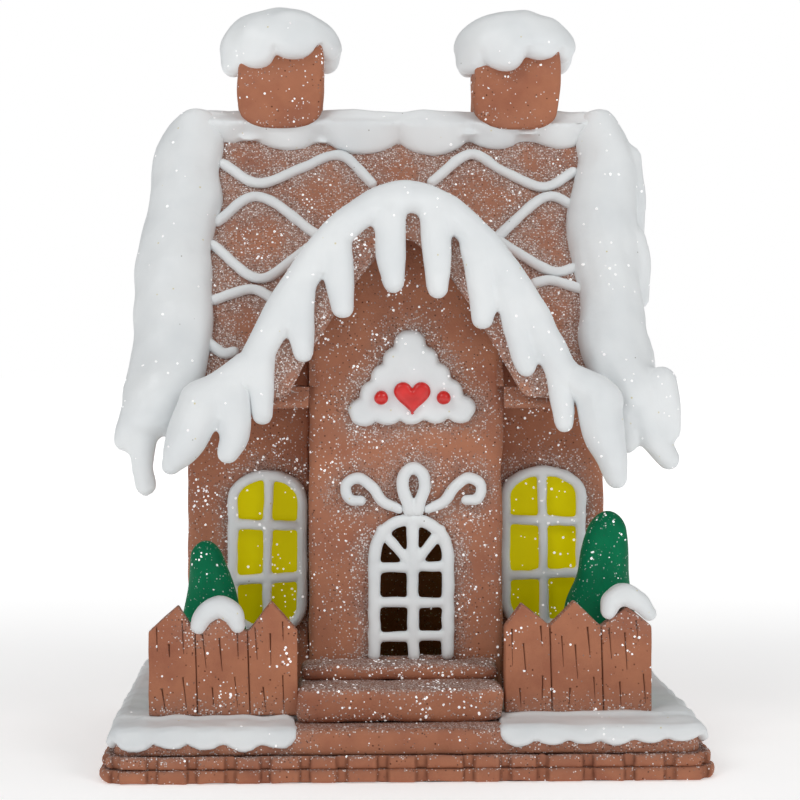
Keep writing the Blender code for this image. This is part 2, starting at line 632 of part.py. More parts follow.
# ---------------------------------------------------------------- snow caps on the chimneys
CAP_TOP = 239.0
CAP_LOBES = {  # x, y from the chimney's middle, and the height the lobe hangs down to
    "left": (
        *((-15, -3, 215.5), (-6.5, -11, 217.0), (6.5, -11, 219.0), (16, -3, 220.5)),
        *((15.5, 6, 217.5), (5.5, 11, 219.5), (-7, 11, 216.5), (-15.5, 5, 218.5)),
    ),
    "right": (
        *((-15.5, -3, 216.0), (-5, -11, 216.4), (7.5, -11, 219.6), (15.5, -3, 220.0)),
        *((15.5, 6, 218.0), (4, 11, 216.5), (-8, 11, 219.0), (-15, 5, 217.0)),
    ),
}
for side, (x0, x1) in CHIMNEYS.items():
    middle = (x0 + x1) / 2
    form = bmesh.new()
    pad(form, (middle, RIDGE_Y, 227.5), (18.5, 14.0, CAP_TOP - 227.5))
    pad(form, (middle - 4, RIDGE_Y, 229.5), (14.5, 12.0, CAP_TOP - 229.8))
    for dx, dy, low in CAP_LOBES[side]:
        pad(form, (middle + dx, RIDGE_Y + dy, low + 7.0), (6.6, 5.2, 7.4))
        pad(form, (middle + dx * 0.8, RIDGE_Y + dy * 0.8, 228.5), (7.0, 7.0, 6.0))
    soft_solid(f"chimney_snow_{side}", form, 230, cutters=[chimney_block("stack", side, GAP)])

# ---------------------------------------------------------------- snow along the ridge, with lobes down both slopes
RIDGE_SNOW_END = 57.0
RIDGE_SHOULDER = 5.0  # the band's shoulders lie this far in front of the ridge and behind it
RIDGE_LOBES = (  # left and right end, and the height the lobe reaches down to
    *((-57, -49, 194.5), (-49, -24.7, 191.5), (-24.7, 0.3, 189.3)),
    *((0.3, 22.3, 189.2), (22.3, 42.1, 191.5), (42.1, 57, 191.6)),
)
form = bmesh.new()
for y, z, radius in ((0, 198.4, 6.4), (-RIDGE_SHOULDER, 197.8, 5.2), (RIDGE_SHOULDER, 197.8, 5.2)):
    run(form, [(s * RIDGE_SNOW_END, RIDGE_Y + y, z) for s in (-1, 1)], (radius, radius))
pitch = math.atan(ROOF_RISE)
for sign in (-1, 1):
    for x0, x1, low in RIDGE_LOBES:
        half = (x1 - x0) / 2
        reach = (202 - low) / 2 / math.sin(pitch)
        z = low + reach * math.sin(pitch)
        middle = -sign * (x0 + x1) / 2
        pad(form, (middle, roof_y(z, 0.6, sign), z), (half * 1.04, reach, 4.4), -sign * pitch)
ends = [block("end", (s * RIDGE_SNOW_END, -50, 100), (s * 110, 90, 300)) for s in (-1, 1)]
stacks = [chimney_block("stack", side, GAP) for side in CHIMNEYS]
soft_solid("ridge_snow", form, 250, cutters=[roof_core(), *ends, *stacks])

# ---------------------------------------------------------------- thick snow over both gable ends, front eave to back eave
GABLE_SNOW = {  # height, outer edge and inner edge away from the middle
    "left": ((200, 76, 57.4), (185, 80.5, 58), (165, 83.5, 59.5), (145, 86.0, 59), (128, 85.5, 63), (112, 88.5, 66.5)),
    "right": ((200, 74.5, 57.4), (185, 79, 57.4), (165, 79.5, 54.5), (145, 79.0, 56), (128, 78.5, 57), (112, 83.5, 66.5)),
}
CORNER_DRIPS = {  # front corner: x and z of root and tip, thickness, bow
    "left": ((84, 112, 87.0, 95.5, 4.6, 0.0), (78, 110, 79.6, 81.5, 4.3, 2.0), (71, 112, 71.0, 99, 4.4, 0.0)),
    "right": ((79, 116, 83.4, 98.5, 3.8, 1.0), (73, 112, 82.3, 89.3, 5.0, -1.0), (70, 112, 69.6, 95.0, 3.8, 0.0)),
}
SIDE_DRIPS = ((178, 11), (163, 15), (147, 10), (132, 16))  # height of the root, and length
SNOW_EAVE_FRONT, SNOW_EAVE_BACK = -32.8, 66.0
SNOW_FRONT_LIMIT = -37.2  # the porch snow lies in front of this plane


def snow_y(z, lift, slope):
    """Y on the roof at a height, held back to hang straight down beyond an eave."""
    return min(max(roof_y(z, lift, slope), SNOW_EAVE_FRONT), SNOW_EAVE_BACK)


for side, sign in (("left", -1), ("right", 1)):
    form = bmesh.new()
    rows = GABLE_SNOW[side]
    for slope in (-1, 1):
        stations = [row for row in rows if slope < 0 or row[0] > 125]
        for share, radius, lift in ((0.0, 6.0, 0.4), (0.5, 7.0, 0.0), (1.0, 7.6, -2.6)):
            line = []
            for z, outer, inner in stations:
                x = inner + radius + share * (outer - inner - 2 * radius)
                crest = 2.0 if z > 199 else 0.0
                line.append((sign * x, snow_y(z - crest, lift, slope), z - crest))
            line = smooth_path(line, 3)
            run(form, line, [radius] * len(line))
            pad(form, line[0], (radius,) * 3)
        for z, length in SIDE_DRIPS:
            if slope > 0 and z < 140:
                continue
            outer = [row[1] for row in rows if row[0] >= z - 12][-1] - 4.2
            root = (sign * outer, roof_y(z, -3, slope), z)
            tip = (sign * (outer + 1.5), roof_y(z, -2, slope) + slope * 1.0, z - length - 8)
            icicle(form, root, tip, 4.2, 3.0)
    for x0, z0, x1, z1, thick, bow in CORNER_DRIPS[side]:
        root = (sign * x0, SNOW_EAVE_FRONT, z0)
        icicle(form, root, (sign * x1, SNOW_EAVE_FRONT, z1), thick, 3.2, sign * bow)
    for x, tip in ((62, 108), (70, 113), (78, 104)):
        icicle(form, (sign * x, SNOW_EAVE_BACK - 0.5, 128), (sign * x, SNOW_EAVE_BACK, tip), 4.6, 3.2)
    clear = [roof_core()]
    middle = RIDGE_SNOW_END + GAP
    clear.append(block("middle", (-middle, -90, CUT_LOW), (middle, 90, 260)))
    clear.append(block("front", (-100, -90, CUT_LOW), (100, SNOW_FRONT_LIMIT, 260)))
    soft_solid(f"roof_snow_{side}", form, 540, cutters=clear)

# ---------------------------------------------------------------- snow on the porch roof's edge, hanging in long drips
ARCH_Y = PORCH_ROOF_FRONT - 1.5
ARCH_DRIPS = (  # root x, tip x, tip z, thickness at the root
    *((-66.0, -70.8, 88.3, 5.4), (-53.0, -54.8, 92.3, 5.2), (-45.5, -43.4, 103.7, 4.2)),
    *((-32.5, -31.0, 122.8, 4.3), (-20.3, -19.1, 136.0, 4.3), (-4.2, -3.7, 144.0, 4.1)),
    *((8.0, 9.7, 141.9, 4.0), (20.5, 23.2, 132.5, 4.4), (32.5, 37.2, 118.0, 4.4)),
    *((45.5, 48.2, 101.5, 4.4), (60.0, 63.4, 84.5, 7.0)),
)
form = bmesh.new()
for y, inset, radius in ((ARCH_Y, 5.4, 5.4), (ARCH_Y + 8, 4.2, 4.2)):
    run(form, [(x * 0.97, y, z) for x, z in bell_line(inset, steps=36)], [radius] * 37)
    pad(form, (-64, y, bell_height(64, inset)), (radius,) * 3)
for root_x, tip_x, tip_z, thick in ARCH_DRIPS:
    root = (root_x, ARCH_Y, bell_height(root_x, 6.0) - 1.0)
    icicle(form, root, (tip_x, ARCH_Y - 1.0, tip_z), thick, 3.1)
    pad(form, (root_x, ARCH_Y, root[2] - 2.5), (6.5, 3.8, 6.5))
for x in (-58.5, 60.5):
    pad(form, (x, ARCH_Y + 0.5, 111), (10.0, 4.6, 7.0))
sheet_line = bell_line(SNOW_THICKNESS - GAP)
past = BELL_END + GAP
space = [(-past, sheet_line[0][1]), *sheet_line, (past, sheet_line[-1][1]), (past, CUT_LOW), (-past, CUT_LOW)]
board_space = plate("board_space", [space], "front", PORCH_ROOF_FRONT - GAP, RIDGE_Y)
corners = [block("corner", (s * 56.5, SNOW_FRONT_LIMIT - GAP, CUT_LOW), (s * 100, 60, 200)) for s in (-1, 1)]
soft_solid("porch_snow", form, 760, cutters=[board_space, roof_core(), *corners])

# ---------------------------------------------------------------- snow along the back eave
form = bmesh.new()
eave_y, eave_z = RIDGE_Y + ROOF_RUN_BACK, RIDGE_Z - ROOF_RUN_BACK * ROOF_RISE
run(form, [(-57, eave_y, eave_z + 1.5), (57, eave_y, eave_z + 1.5)], (5.4, 5.4))
for i in range(9):
    x = -49 + 98 * i / 8
    length = 15 + 7 * math.sin(2.3 * i + 1)
    icicle(form, (x, eave_y + 1.2, eave_z), (x + 1.0, eave_y + 1.8, eave_z - length), 4.4, 3.0)
ends = [block("end", (s * RIDGE_SNOW_END, 0, CUT_LOW), (s * 110, 90, 300)) for s in (-1, 1)]
soft_solid("back_eave_snow", form, 330, cutters=[roof_core(), *ends])

# ---------------------------------------------------------------- piped swags of icing on the roof
FRONT_SWAGS = {  # x and height of the points each rope runs through
    "a_left": ((-56.6, 186.3), (-46.2, 180.4), (-32, 185.5), (-19.4, 189.4), (-10.0, 181.0)),
    "a_right": ((11.6, 181.6), (23.4, 190.0), (33.7, 185.0), (46.8, 179.3), (56.0, 184.0)),
    "b_left": ((-56.8, 168.8), (-46.1, 176.0), (-29.5, 165.5)),
    "b_right": ((31.5, 163.5), (47.0, 175.8), (53.5, 174.0)),
    "c_left": ((-58.5, 158.0), (-45.7, 148.9), (-34.5, 154.9)),
    "c_right": ((32.5, 160.0), (47.4, 151.6), (53.8, 152.4)),
    "d_left": ((-57.2, 142.6), (-48.5, 145.4), (-44.2, 144.6)),
    "d_right": ((44.5, 147.8), (48.2, 148.4), (54.6, 146.2)),
    "e_left": ((-61.0, 129.0), (-56.5, 125.4), (-54.5, 125.6)),
}
for name, points in FRONT_SWAGS.items():
    line = [(x, roof_y(z, ROPE_RADIUS + GAP), z) for x, z in smooth_path(points, 3)]
    tube(f"icing_{name}", line, ROPE_RADIUS)
for row, (z, wave) in enumerate(((181, 1), (163, -1), (145, 1))):
    line = []
    for i in range(19):
        x = 54 * (i / 9 - 1)
        height = z + wave * 5 * math.cos(2 * math.pi * x / 36)
        line.append((x, roof_y(height, ROPE_RADIUS + GAP, 1), height))
    tube(f"icing_back_{row + 1}", line, ROPE_RADIUS)
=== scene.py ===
"""Looks of the gingerbread house ornament: brown dough clay under thick white icing snow.

Sizes are millimetres and the helpers turn them into Blender's metres. X runs to the right of the front,
Y to the back and Z up, with the origin under the middle of the base. The sections follow the making.
"""

import json
import math

import bmesh
import bpy
import numpy as np
from mathutils import Matrix, Vector
from mathutils.bvhtree import BVHTree

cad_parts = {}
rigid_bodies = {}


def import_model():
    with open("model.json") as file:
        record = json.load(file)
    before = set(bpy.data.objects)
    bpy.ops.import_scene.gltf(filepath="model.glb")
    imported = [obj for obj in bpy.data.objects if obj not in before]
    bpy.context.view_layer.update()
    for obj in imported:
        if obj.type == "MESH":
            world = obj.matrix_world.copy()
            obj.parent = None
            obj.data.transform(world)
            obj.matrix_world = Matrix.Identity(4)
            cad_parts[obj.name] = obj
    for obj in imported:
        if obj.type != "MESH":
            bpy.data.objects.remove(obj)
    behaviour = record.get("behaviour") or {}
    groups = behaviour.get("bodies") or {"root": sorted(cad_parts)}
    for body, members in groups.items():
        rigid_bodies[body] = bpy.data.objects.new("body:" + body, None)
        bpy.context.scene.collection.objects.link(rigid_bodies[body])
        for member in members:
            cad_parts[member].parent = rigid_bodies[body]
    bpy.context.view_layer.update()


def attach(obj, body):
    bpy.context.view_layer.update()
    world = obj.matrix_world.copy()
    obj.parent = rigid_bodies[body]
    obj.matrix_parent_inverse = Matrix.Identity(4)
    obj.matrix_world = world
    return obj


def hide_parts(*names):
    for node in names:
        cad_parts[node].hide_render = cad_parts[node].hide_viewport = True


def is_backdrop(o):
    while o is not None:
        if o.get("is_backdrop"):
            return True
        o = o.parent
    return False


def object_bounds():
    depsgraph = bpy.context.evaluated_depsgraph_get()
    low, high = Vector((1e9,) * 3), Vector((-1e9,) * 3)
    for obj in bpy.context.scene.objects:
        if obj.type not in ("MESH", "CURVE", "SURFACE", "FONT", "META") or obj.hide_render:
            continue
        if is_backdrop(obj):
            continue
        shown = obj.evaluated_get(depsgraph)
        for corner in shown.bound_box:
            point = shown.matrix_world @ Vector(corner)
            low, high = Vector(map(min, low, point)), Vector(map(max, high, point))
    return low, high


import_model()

# ---------------------------------------------------------------- base: two brick courses and a smooth slab
# Two ropes of brown dough clay laid round the edge, one on the other, and scored into bricks with a
# blunt blade. A slab of the same clay lies on them and stands back a little.
MM = 0.001


def hex_colour(text):
    """An sRGB hex value as linear red, green, blue and alpha."""
    parts = [int(text[i : i + 2], 16) / 255 for i in (0, 2, 4)]
    return (*(p / 12.92 if p <= 0.04045 else ((p + 0.055) / 1.055) ** 2.4 for p in parts), 1.0)


def add_node(tree, kind, settings=None, sockets=None):
    """Adds a shader node. Settings are its properties; sockets take values or other nodes' outputs."""
    node = tree.nodes.new("ShaderNode" + kind)
    for key, value in (settings or {}).items():
        if key == "stops":
            ramp = node.color_ramp
            ramp.elements.remove(ramp.elements[1])
            for i, (place, colour) in enumerate(value):
                stop = ramp.elements[0] if i == 0 else ramp.elements.new(place)
                stop.position = place
                stop.color = hex_colour(colour)
        else:
            setattr(node, key, value)
    for key, value in (sockets or {}).items():
        if isinstance(value, bpy.types.NodeSocket):
            tree.links.new(value, node.inputs[key])
        else:
            node.inputs[key].default_value = value
    return node


def new_material(name, **constants):
    """A material with one Principled shader and the given constants on its own sockets."""
    made = bpy.data.materials.new(name)
    made.use_nodes = True
    shader = made.node_tree.nodes["Principled BSDF"]
    for key, value in constants.items():
        shader.inputs[key.replace("_", " ")].default_value = value
    return made, made.node_tree, shader


def spots(tree, place, cell, low, high, share=None):
    """A mask of round spots, one at most in each cell of that size; share is how many cells have one."""
    cells = add_node(tree, "TexVoronoi", {}, {"Vector": place, "Scale": 1000 / cell})
    edge = {"Value": cells.outputs["Distance"], "From Min": low / cell, "From Max": high / cell}
    edge.update({"To Min": 1.0, "To Max": 0.0})
    mask = add_node(tree, "MapRange", {}, edge).outputs["Result"]
    if share is None:
        return mask
    draw = add_node(tree, "SeparateColor", {}, {"Color": cells.outputs["Color"]}).outputs["Red"]
    keep = add_node(tree, "Math", {"operation": "LESS_THAN"}, {0: draw, 1: share}).outputs[0]
    return add_node(tree, "Math", {"operation": "MULTIPLY"}, {0: mask, 1: keep}).outputs[0]


def over(tree, below, above, mask):
    """Lays one colour over another through a mask."""
    sockets = {0: mask, 6: below, 7: hex_colour(above) if isinstance(above, str) else above}
    return add_node(tree, "Mix", {"data_type": "RGBA"}, sockets).outputs[2]


def multiply(tree, a, b):
    return add_node(tree, "Math", {"operation": "MULTIPLY"}, {0: a, 1: b}).outputs[0]


def sprinkled(tree, place, size, amount):
    """A mask of loose grains, one in each cell of that size, with the share that amount gives drawn, and
    the grains' own random numbers."""
    cells = add_node(tree, "TexVoronoi", {}, {"Vector": place, "Scale": 1000 / size})
    draws = add_node(tree, "SeparateColor", {}, {"Color": cells.outputs["Color"]})
    keep = add_node(tree, "Math", {"operation": "LESS_THAN"}, {0: draws.outputs["Red"], 1: amount}).outputs[0]
    edge = {"Value": cells.outputs["Distance"], "From Min": 0.32, "From Max": 0.62, "To Min": 1.0, "To Max": 0.0}
    grain = add_node(tree, "MapRange", {}, edge).outputs["Result"]
    return multiply(tree, keep, grain), draws.outputs["Green"]


def ginger_dough_clay():
    """Coloured dough clay, rolled out and left to dry: a dull, mottled skin with open pores the size of
    pinheads, each darkened inside with painted shade. Grooves, the sides of dents and creases get painted
    shade too, from a share stored on each vertex. White grains stick to it, thickest where snow was
    pressed on, which dust carries."""
    made, tree, shader = new_material("ginger_dough_clay", IOR=1.5, Specular_IOR_Level=0.2)
    place = add_node(tree, "TexCoord").outputs["Object"]
    dust = add_node(tree, "Attribute", {"attribute_name": "dust"}).outputs["Fac"]
    scored = add_node(tree, "Attribute", {"attribute_name": "scored"}).outputs["Fac"]
    patch = {"Vector": place, "Scale": 1000 / 15, "Detail": 5.0, "Roughness": 0.6}
    patches = add_node(tree, "TexNoise", {}, patch).outputs["Fac"]
    tones = ((0.3, "A0644C"), (0.5, "AE7155"), (0.7, "B97A5B"))
    colour = add_node(tree, "ValToRGB", {"stops": tones}, {"Fac": patches}).outputs["Color"]
    # skin grain 0.6 mm across
    grain = add_node(tree, "TexNoise", {}, {"Vector": place, "Scale": 1000 / 0.6, "Detail": 3.0}).outputs["Fac"]
    # painted shade: darker brown in grooves, at the sides of brick marks and in the crease between courses
    colour = over(tree, colour, "4E2312", scored)
    few = {"Value": patches, "From Min": 0.36, "From Max": 0.66, "To Max": 0.75}
    pores = spots(tree, place, 1.9, 0.14, 0.36, add_node(tree, "MapRange", {}, few).outputs["Result"])
    # painted shade: each pore is darkened inside with a dark brown
    colour = over(tree, colour, "5A2C1C", pores)
    colour = over(tree, colour, "9A8076", multiply(tree, dust, 0.6))
    # the grains are finer than can show, so they are drawn 0.5 mm across
    grains, own = sprinkled(tree, place, 0.5, dust)
    glints = ((0.08, "6E4A3C"), (0.3, "AA9086"), (0.65, "D3C5C0"), (0.92, "F6EFEC"))
    glint = add_node(tree, "ValToRGB", {"stops": glints}, {"Fac": own}).outputs["Color"]
    colour = over(tree, colour, glint, grains)
    tree.links.new(colour, shader.inputs["Base Color"])
    dull = {"Value": grain, "From Min": 0.3, "From Max": 0.7, "To Min": 0.6, "To Max": 0.8}
    tree.links.new(add_node(tree, "MapRange", {}, dull).outputs["Result"], shader.inputs["Roughness"])
    relief = add_node(tree, "Math", {"operation": "SUBTRACT"}, {0: grain, 1: pores}).outputs[0]
    relief = add_node(tree, "Math", {"operation": "ADD"}, {0: relief, 1: grains}).outputs[0]
    bump = add_node(tree, "Bump", {}, {"Strength": 0.5, "Distance": 0.3 * MM, "Height": relief})
    tree.links.new(bump.outputs["Normal"], shader.inputs["Normal"])
    return made


GINGER = ginger_dough_clay()
brown_pieces = []


def show(name, data, paint, slot, *nodes):
    """Places a finished mesh as a piece that stands for the named solids."""
    made = bpy.data.objects.new(name, data)
    bpy.context.scene.collection.objects.link(made)
    data.materials.clear()
    data.materials.append(paint)
    data.shade_smooth()
    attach(made, "root")
    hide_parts(*nodes)
    if paint == GINGER:
        brown_pieces.append(made)
    return made


def read_points(data, what="co"):
    """All vertex places in millimetres, or all vertex normals."""
    values = np.zeros(len(data.vertices) * 3, np.float32)
    if what == "co":
        data.vertices.foreach_get("co", values)
        return values.reshape(-1, 3).astype(float) / MM
    data.vertex_normals.foreach_get("vector", values)
    return values.reshape(-1, 3).astype(float)


def write_points(data, points):
    data.vertices.foreach_set("co", (points * MM).astype(np.float32).ravel())
    data.update()


def knead(data, amount, size, seed):
    """Leaves the uneven surface of hand work: soft swells of that height and width, in millimetres."""
    points, normals = read_points(data), read_points(data, "normal")
    draw = np.random.default_rng(seed)
    swell = np.zeros(len(points))
    for _ in range(9):
        way = draw.normal(size=3)
        way *= 2 * math.pi / (size * draw.uniform(0.7, 1.6)) / np.linalg.norm(way)
        swell += np.sin(points @ way + draw.uniform(0, 2 * math.pi))
    write_points(data, points + normals * (swell * amount / 3)[:, None])
    return data


def set_share(data, name, values):
    """Stores one number a vertex, which a material reads by name."""
    layer = data.attributes.new(name, "FLOAT", "POINT")
    layer.data.foreach_set("value", np.clip(values, 0, 1).astype(np.float32))


def rounded_rectangle(width, depth, corner, pitch):
    """Even points round a rounded rectangle, from the middle of the front, with outward directions."""
    line = [(0.0, -depth / 2)]
    for sx, sy, start in ((1, -1, -0.5), (1, 1, 0.0), (-1, 1, 0.5), (-1, -1, 1.0)):
        for i in range(25):
            a = math.pi * (start + i / 48)
            x = sx * (width / 2 - corner) + corner * math.cos(a)
            line.append((x, sy * (depth / 2 - corner) + corner * math.sin(a)))
    line = np.array([*line, (0.0, -depth / 2)])
    along = np.concatenate([[0], np.cumsum(np.hypot(*np.diff(line, axis=0).T))])
    count = round(along[-1] / pitch)
    places = np.arange(count) * along[-1] / count
    points = np.stack([np.interp(places, along, line[:, k]) for k in (0, 1)], 1)
    ahead = np.roll(points, -1, 0) - np.roll(points, 1, 0)
    outward = np.stack([ahead[:, 1], -ahead[:, 0]], 1) / np.hypot(*ahead.T)[:, None]
    return points, outward, places, along[-1]


BASE_WIDTH, BASE_DEPTH, BASE_CORNER = 182.0, 141.0, 9.0
BRICK_PITCH, BRICK_SWAY = 11.65, 0.7
SCORE_WIDTH, SCORE_DEPTH, SCORE_LIP = 1.5, 1.25, 0.4
FRONT_JOINTS = (-86.6, -75.1, -63.5, -52.3, -42.1, -30.6, -19.8, -7.9, 3.4, 17.4, 28.1, 39.0, 52.5, 64.6, 76.5)


def base_layer(name, node, inset, rows, joints):
    """A band swept round the base from rows of inset and height; joints are where bricks meet."""
    points, outward, places, length = rounded_rectangle(
        BASE_WIDTH - 2 * inset, BASE_DEPTH - 2 * inset, BASE_CORNER - inset / 2, 0.55
    )
    away = np.full(len(places), 99.0)
    joints = list(joints)
    while joints and joints[-1] < length + joints[0] - 1.5 * BRICK_PITCH:
        joints.append(joints[-1] + BRICK_PITCH + BRICK_SWAY * math.sin(2.3 * len(joints)))
    for joint in joints:
        gap = np.abs((places - joint + length / 2) % length - length / 2)
        away = np.minimum(away, gap)
    dent = SCORE_DEPTH / (1 + (away / SCORE_WIDTH) ** 12)
    dent -= SCORE_LIP * np.exp(-(((away - 2.5) / 0.8) ** 2))
    sides = np.exp(-(((away - SCORE_WIDTH) / 0.4) ** 2))
    vertices, scored = [], []
    bulge = max(step for step, _ in rows)
    for step, z in rows:
        proud = 1 - step / bulge if joints else 0.0
        spot = points - outward * (step + dent * proud**0.5)[:, None]
        vertices.append(np.column_stack([spot, np.full(len(spot), z)]))
        # painted shade: darker in each dent, at its sides, and in the crease where one course meets the next
        scored.append((0.12 * (away < SCORE_WIDTH) + 0.6 * sides) * proud + 0.8 * (1 - proud) ** 3 * bool(joints))
    count = len(points)
    faces = [
        (j * count + i, j * count + (i + 1) % count, (j + 1) * count + (i + 1) % count, (j + 1) * count + i)
        for j in range(len(rows) - 1)
        for i in range(count)
    ]
    faces.append(tuple(reversed(range(count))))
    faces.append(tuple(range((len(rows) - 1) * count, len(rows) * count)))
    data = bpy.data.meshes.new(name)
    data.from_pydata((np.vstack(vertices) * MM).tolist(), [], faces)
    set_share(data, "scored", np.concatenate(scored))
    knead(data, 0.16, 9.0, len(name))
    return show(name, data, GINGER, "ginger_clay", node)


COURSE_PITCH, DECK_Z = 3.9, 15.0
turns = [math.pi * (i / 16 - 0.5) for i in range(17)]
half_round = [(1.7 * (1 - max(0.0, math.cos(a)) ** 0.7), COURSE_PITCH / 2 * math.sin(a)) for a in turns]
for name, inset, z in (("brick_course_lower", 0.0, 1.95), ("brick_course_upper", 1.0, 1.95 + COURSE_PITCH)):
    node = name.replace("brick", "base")
    base_layer(name, node, inset, [(step, z + rise) for step, rise in half_round], FRONT_JOINTS)
SLAB_INSET, SLAB_FOOT, SLAB_ROUND = 4.0, 7.3, 2.0
turns = [math.pi / 2 * i / 8 for i in range(9)]
rows = [(0.5, SLAB_FOOT), (0.1, SLAB_FOOT + 0.9), (0.0, SLAB_FOOT + 2.0)]
rows += [(SLAB_ROUND * (1 - math.cos(a)), DECK_Z - SLAB_ROUND * (1 - math.sin(a))) for a in turns]
base_layer("base_slab_clay", "base_slab", SLAB_INSET, rows, [])

# ---------------------------------------------------------------- steps
# Two blocks of the same clay with finger-softened edges, stacked before the porch and pressed down
# while wet. Their treads hold the most dust.


def mould(form, voxel, rounding):
    """Presses overlapping closed shapes into one even skin with softened edges."""
    data = bpy.data.meshes.new("skin")
    form.to_mesh(data)
    form.free()
    rough = bpy.data.objects.new("skin", data)
    bpy.context.scene.collection.objects.link(rough)
    melt = rough.modifiers.new("melt", "REMESH")
    melt.mode = "VOXEL"
    melt.voxel_size = voxel * MM
    melt.use_smooth_shade = True
    relax = rough.modifiers.new("relax", "SMOOTH")
    relax.factor = 0.5
    relax.iterations = rounding
    graph = bpy.context.evaluated_depsgraph_get()
    skin = bpy.data.meshes.new_from_object(rough.evaluated_get(graph))
    bpy.data.objects.remove(rough, do_unlink=True)
    return skin


def add_block(form, low, high, radius=0.0):
    """Adds a block between two corners to a form, with rounded edges."""
    low, high = Vector(low) * MM, Vector(high) * MM
    made = bmesh.ops.create_cube(form, size=1.0)["verts"]
    bmesh.ops.scale(form, vec=high - low, verts=made)
    bmesh.ops.translate(form, vec=(low + high) / 2, verts=made)
    if radius:
        edges = list({edge for vertex in made for edge in vertex.link_edges})
        bmesh.ops.bevel(form, geom=edges, offset=radius * MM, segments=6, profile=0.5, affect="EDGES")


STEP_Z, PORCH_FRONT = 30.0, -25.0
for name, low, high in (
    ("step_lower", (-33.0, -56.0, 15.1), (29.0, PORCH_FRONT, 25.3)),
    ("step_upper", (-32.0, -40.0, 25.0), (29.0, PORCH_FRONT, STEP_Z)),
):
    form = bmesh.new()
    add_block(form, low, high, 2.3)
    data = knead(mould(form, 0.95, 1), 0.3, 14.0, len(name) + 3)
    show(name + "_clay", data, GINGER, "ginger_clay", name)

# ---------------------------------------------------------------- yard snow
# A thin sheet of white icing clay smoothed over the slab, with its edge pinched into round lobes that
# hang over the side. A roll of it is pressed along the foot of each fence.


def icing_clay():
    """White air-drying clay put on like royal icing: smooth and faintly glossy, with the soft dimples of
    a finger, a fine skin and a few stray specks of glitter dust."""
    made, tree, shader = new_material("white_icing_clay", IOR=1.48)
    place = add_node(tree, "TexCoord").outputs["Object"]
    patch = {"Vector": place, "Scale": 1000 / 22, "Detail": 3.0}
    patches = add_node(tree, "TexNoise", {}, patch).outputs["Fac"]
    tones = ((0.3, "E2E6E8"), (0.6, "ECEFF0"))
    colour = add_node(tree, "ValToRGB", {"stops": tones}, {"Fac": patches}).outputs["Color"]
    colour = over(tree, colour, "8F8A80", spots(tree, place, 5.0, 0.1, 0.3, 0.3))
    colour = over(tree, colour, "D9CF9C", spots(tree, place, 4.3, 0.15, 0.4, 0.3))
    tree.links.new(colour, shader.inputs["Base Color"])
    dimples = add_node(tree, "TexNoise", {}, {"Vector": place, "Scale": 1000 / 5, "Detail": 1.0}).outputs["Fac"]
    grain = add_node(tree, "TexNoise", {}, {"Vector": place, "Scale": 1000 / 0.8, "Detail": 2.0}).outputs["Fac"]
    gloss = {"Value": dimples, "From Min": 0.3, "From Max": 0.7, "To Min": 0.38, "To Max": 0.52}
    tree.links.new(add_node(tree, "MapRange", {}, gloss).outputs["Result"], shader.inputs["Roughness"])
    fine = add_node(tree, "Math", {"operation": "MULTIPLY"}, {0: grain, 1: 0.12}).outputs[0]
    relief = add_node(tree, "Math", {"operation": "ADD"}, {0: dimples, 1: fine}).outputs[0]
    bump = add_node(tree, "Bump", {}, {"Strength": 0.5, "Distance": 0.5 * MM, "Height": relief})
    tree.links.new(bump.outputs["Normal"], shader.inputs["Normal"])
    return made


ICING = icing_clay()


def add_pad(form, centre, size, turn=0.0):
    """Adds an ellipsoid with the given half sizes, turned about X, to a form."""
    place = Matrix.Translation(Vector(centre) * MM) @ Matrix.Rotation(turn, 4, "X")
    shape = place @ Matrix.Diagonal((*(Vector(size) * MM), 1.0))
    bmesh.ops.create_uvsphere(form, u_segments=24, v_segments=14, radius=1.0, matrix=shape)


def smooth_path(points, per_span=6):
    """Points along a smooth curve through the given ones; any further values in a point follow."""
    knots = [np.array(p, float) for p in points]
    knots = [2 * knots[0] - knots[1], *knots, 2 * knots[-1] - knots[-2]]
    path = []
    for i in range(1, len(knots) - 2):
        a, b, c, d = knots[i - 1 : i + 3]
        for j in range(per_span):
            t = j / per_span
            bend = (2 * a - 5 * b + 4 * c - d) * t**2 + (3 * b - a - 3 * c + d) * t**3
            path.append(0.5 * (2 * b + (c - a) * t + bend))
    return [*path, knots[-2]]


def add_rope(form, path, closed=False, sides=14):
    """Adds a round rope to a form along points of x, y, z and radius, with round ends."""
    path = [np.array(p, float) for p in path]
    stations = []
    for i, point in enumerate(path):
        before = path[i - 1] if i or closed else point
        after = path[(i + 1) % len(path)] if i + 1 < len(path) or closed else point
        stations.append((Vector(point[:3]), Vector(after[:3] - before[:3]).normalized(), point[3]))
    if not closed:
        for end, way in ((0, -1), (-1, 1)):
            spot, ahead, radius = stations[end]
            domes = [(spot + ahead * way * radius * math.sin(a), ahead, radius * math.cos(a)) for a in (0.45, 0.9, 1.35)]
            stations = domes[::-1] + stations if way < 0 else stations + domes
    rings = []
    side = stations[0][1].orthogonal()
    for spot, ahead, radius in stations:
        side = (side - ahead * side.dot(ahead)).normalized()
        rise = ahead.cross(side)
        turns = [2 * math.pi * k / sides for k in range(sides)]
        rings.append([form.verts.new((spot + (side * math.cos(a) + rise * math.sin(a)) * radius) * MM) for a in turns])
    pairs = list(zip(rings, rings[1:])) + ([(rings[-1], rings[0])] if closed else [])
    for ring, after in pairs:
        for k in range(sides):
            form.faces.new((ring[k], ring[(k + 1) % sides], after[(k + 1) % sides], after[k]))
    if not closed:
        form.faces.new(reversed(rings[0]))
        form.faces.new(rings[-1])


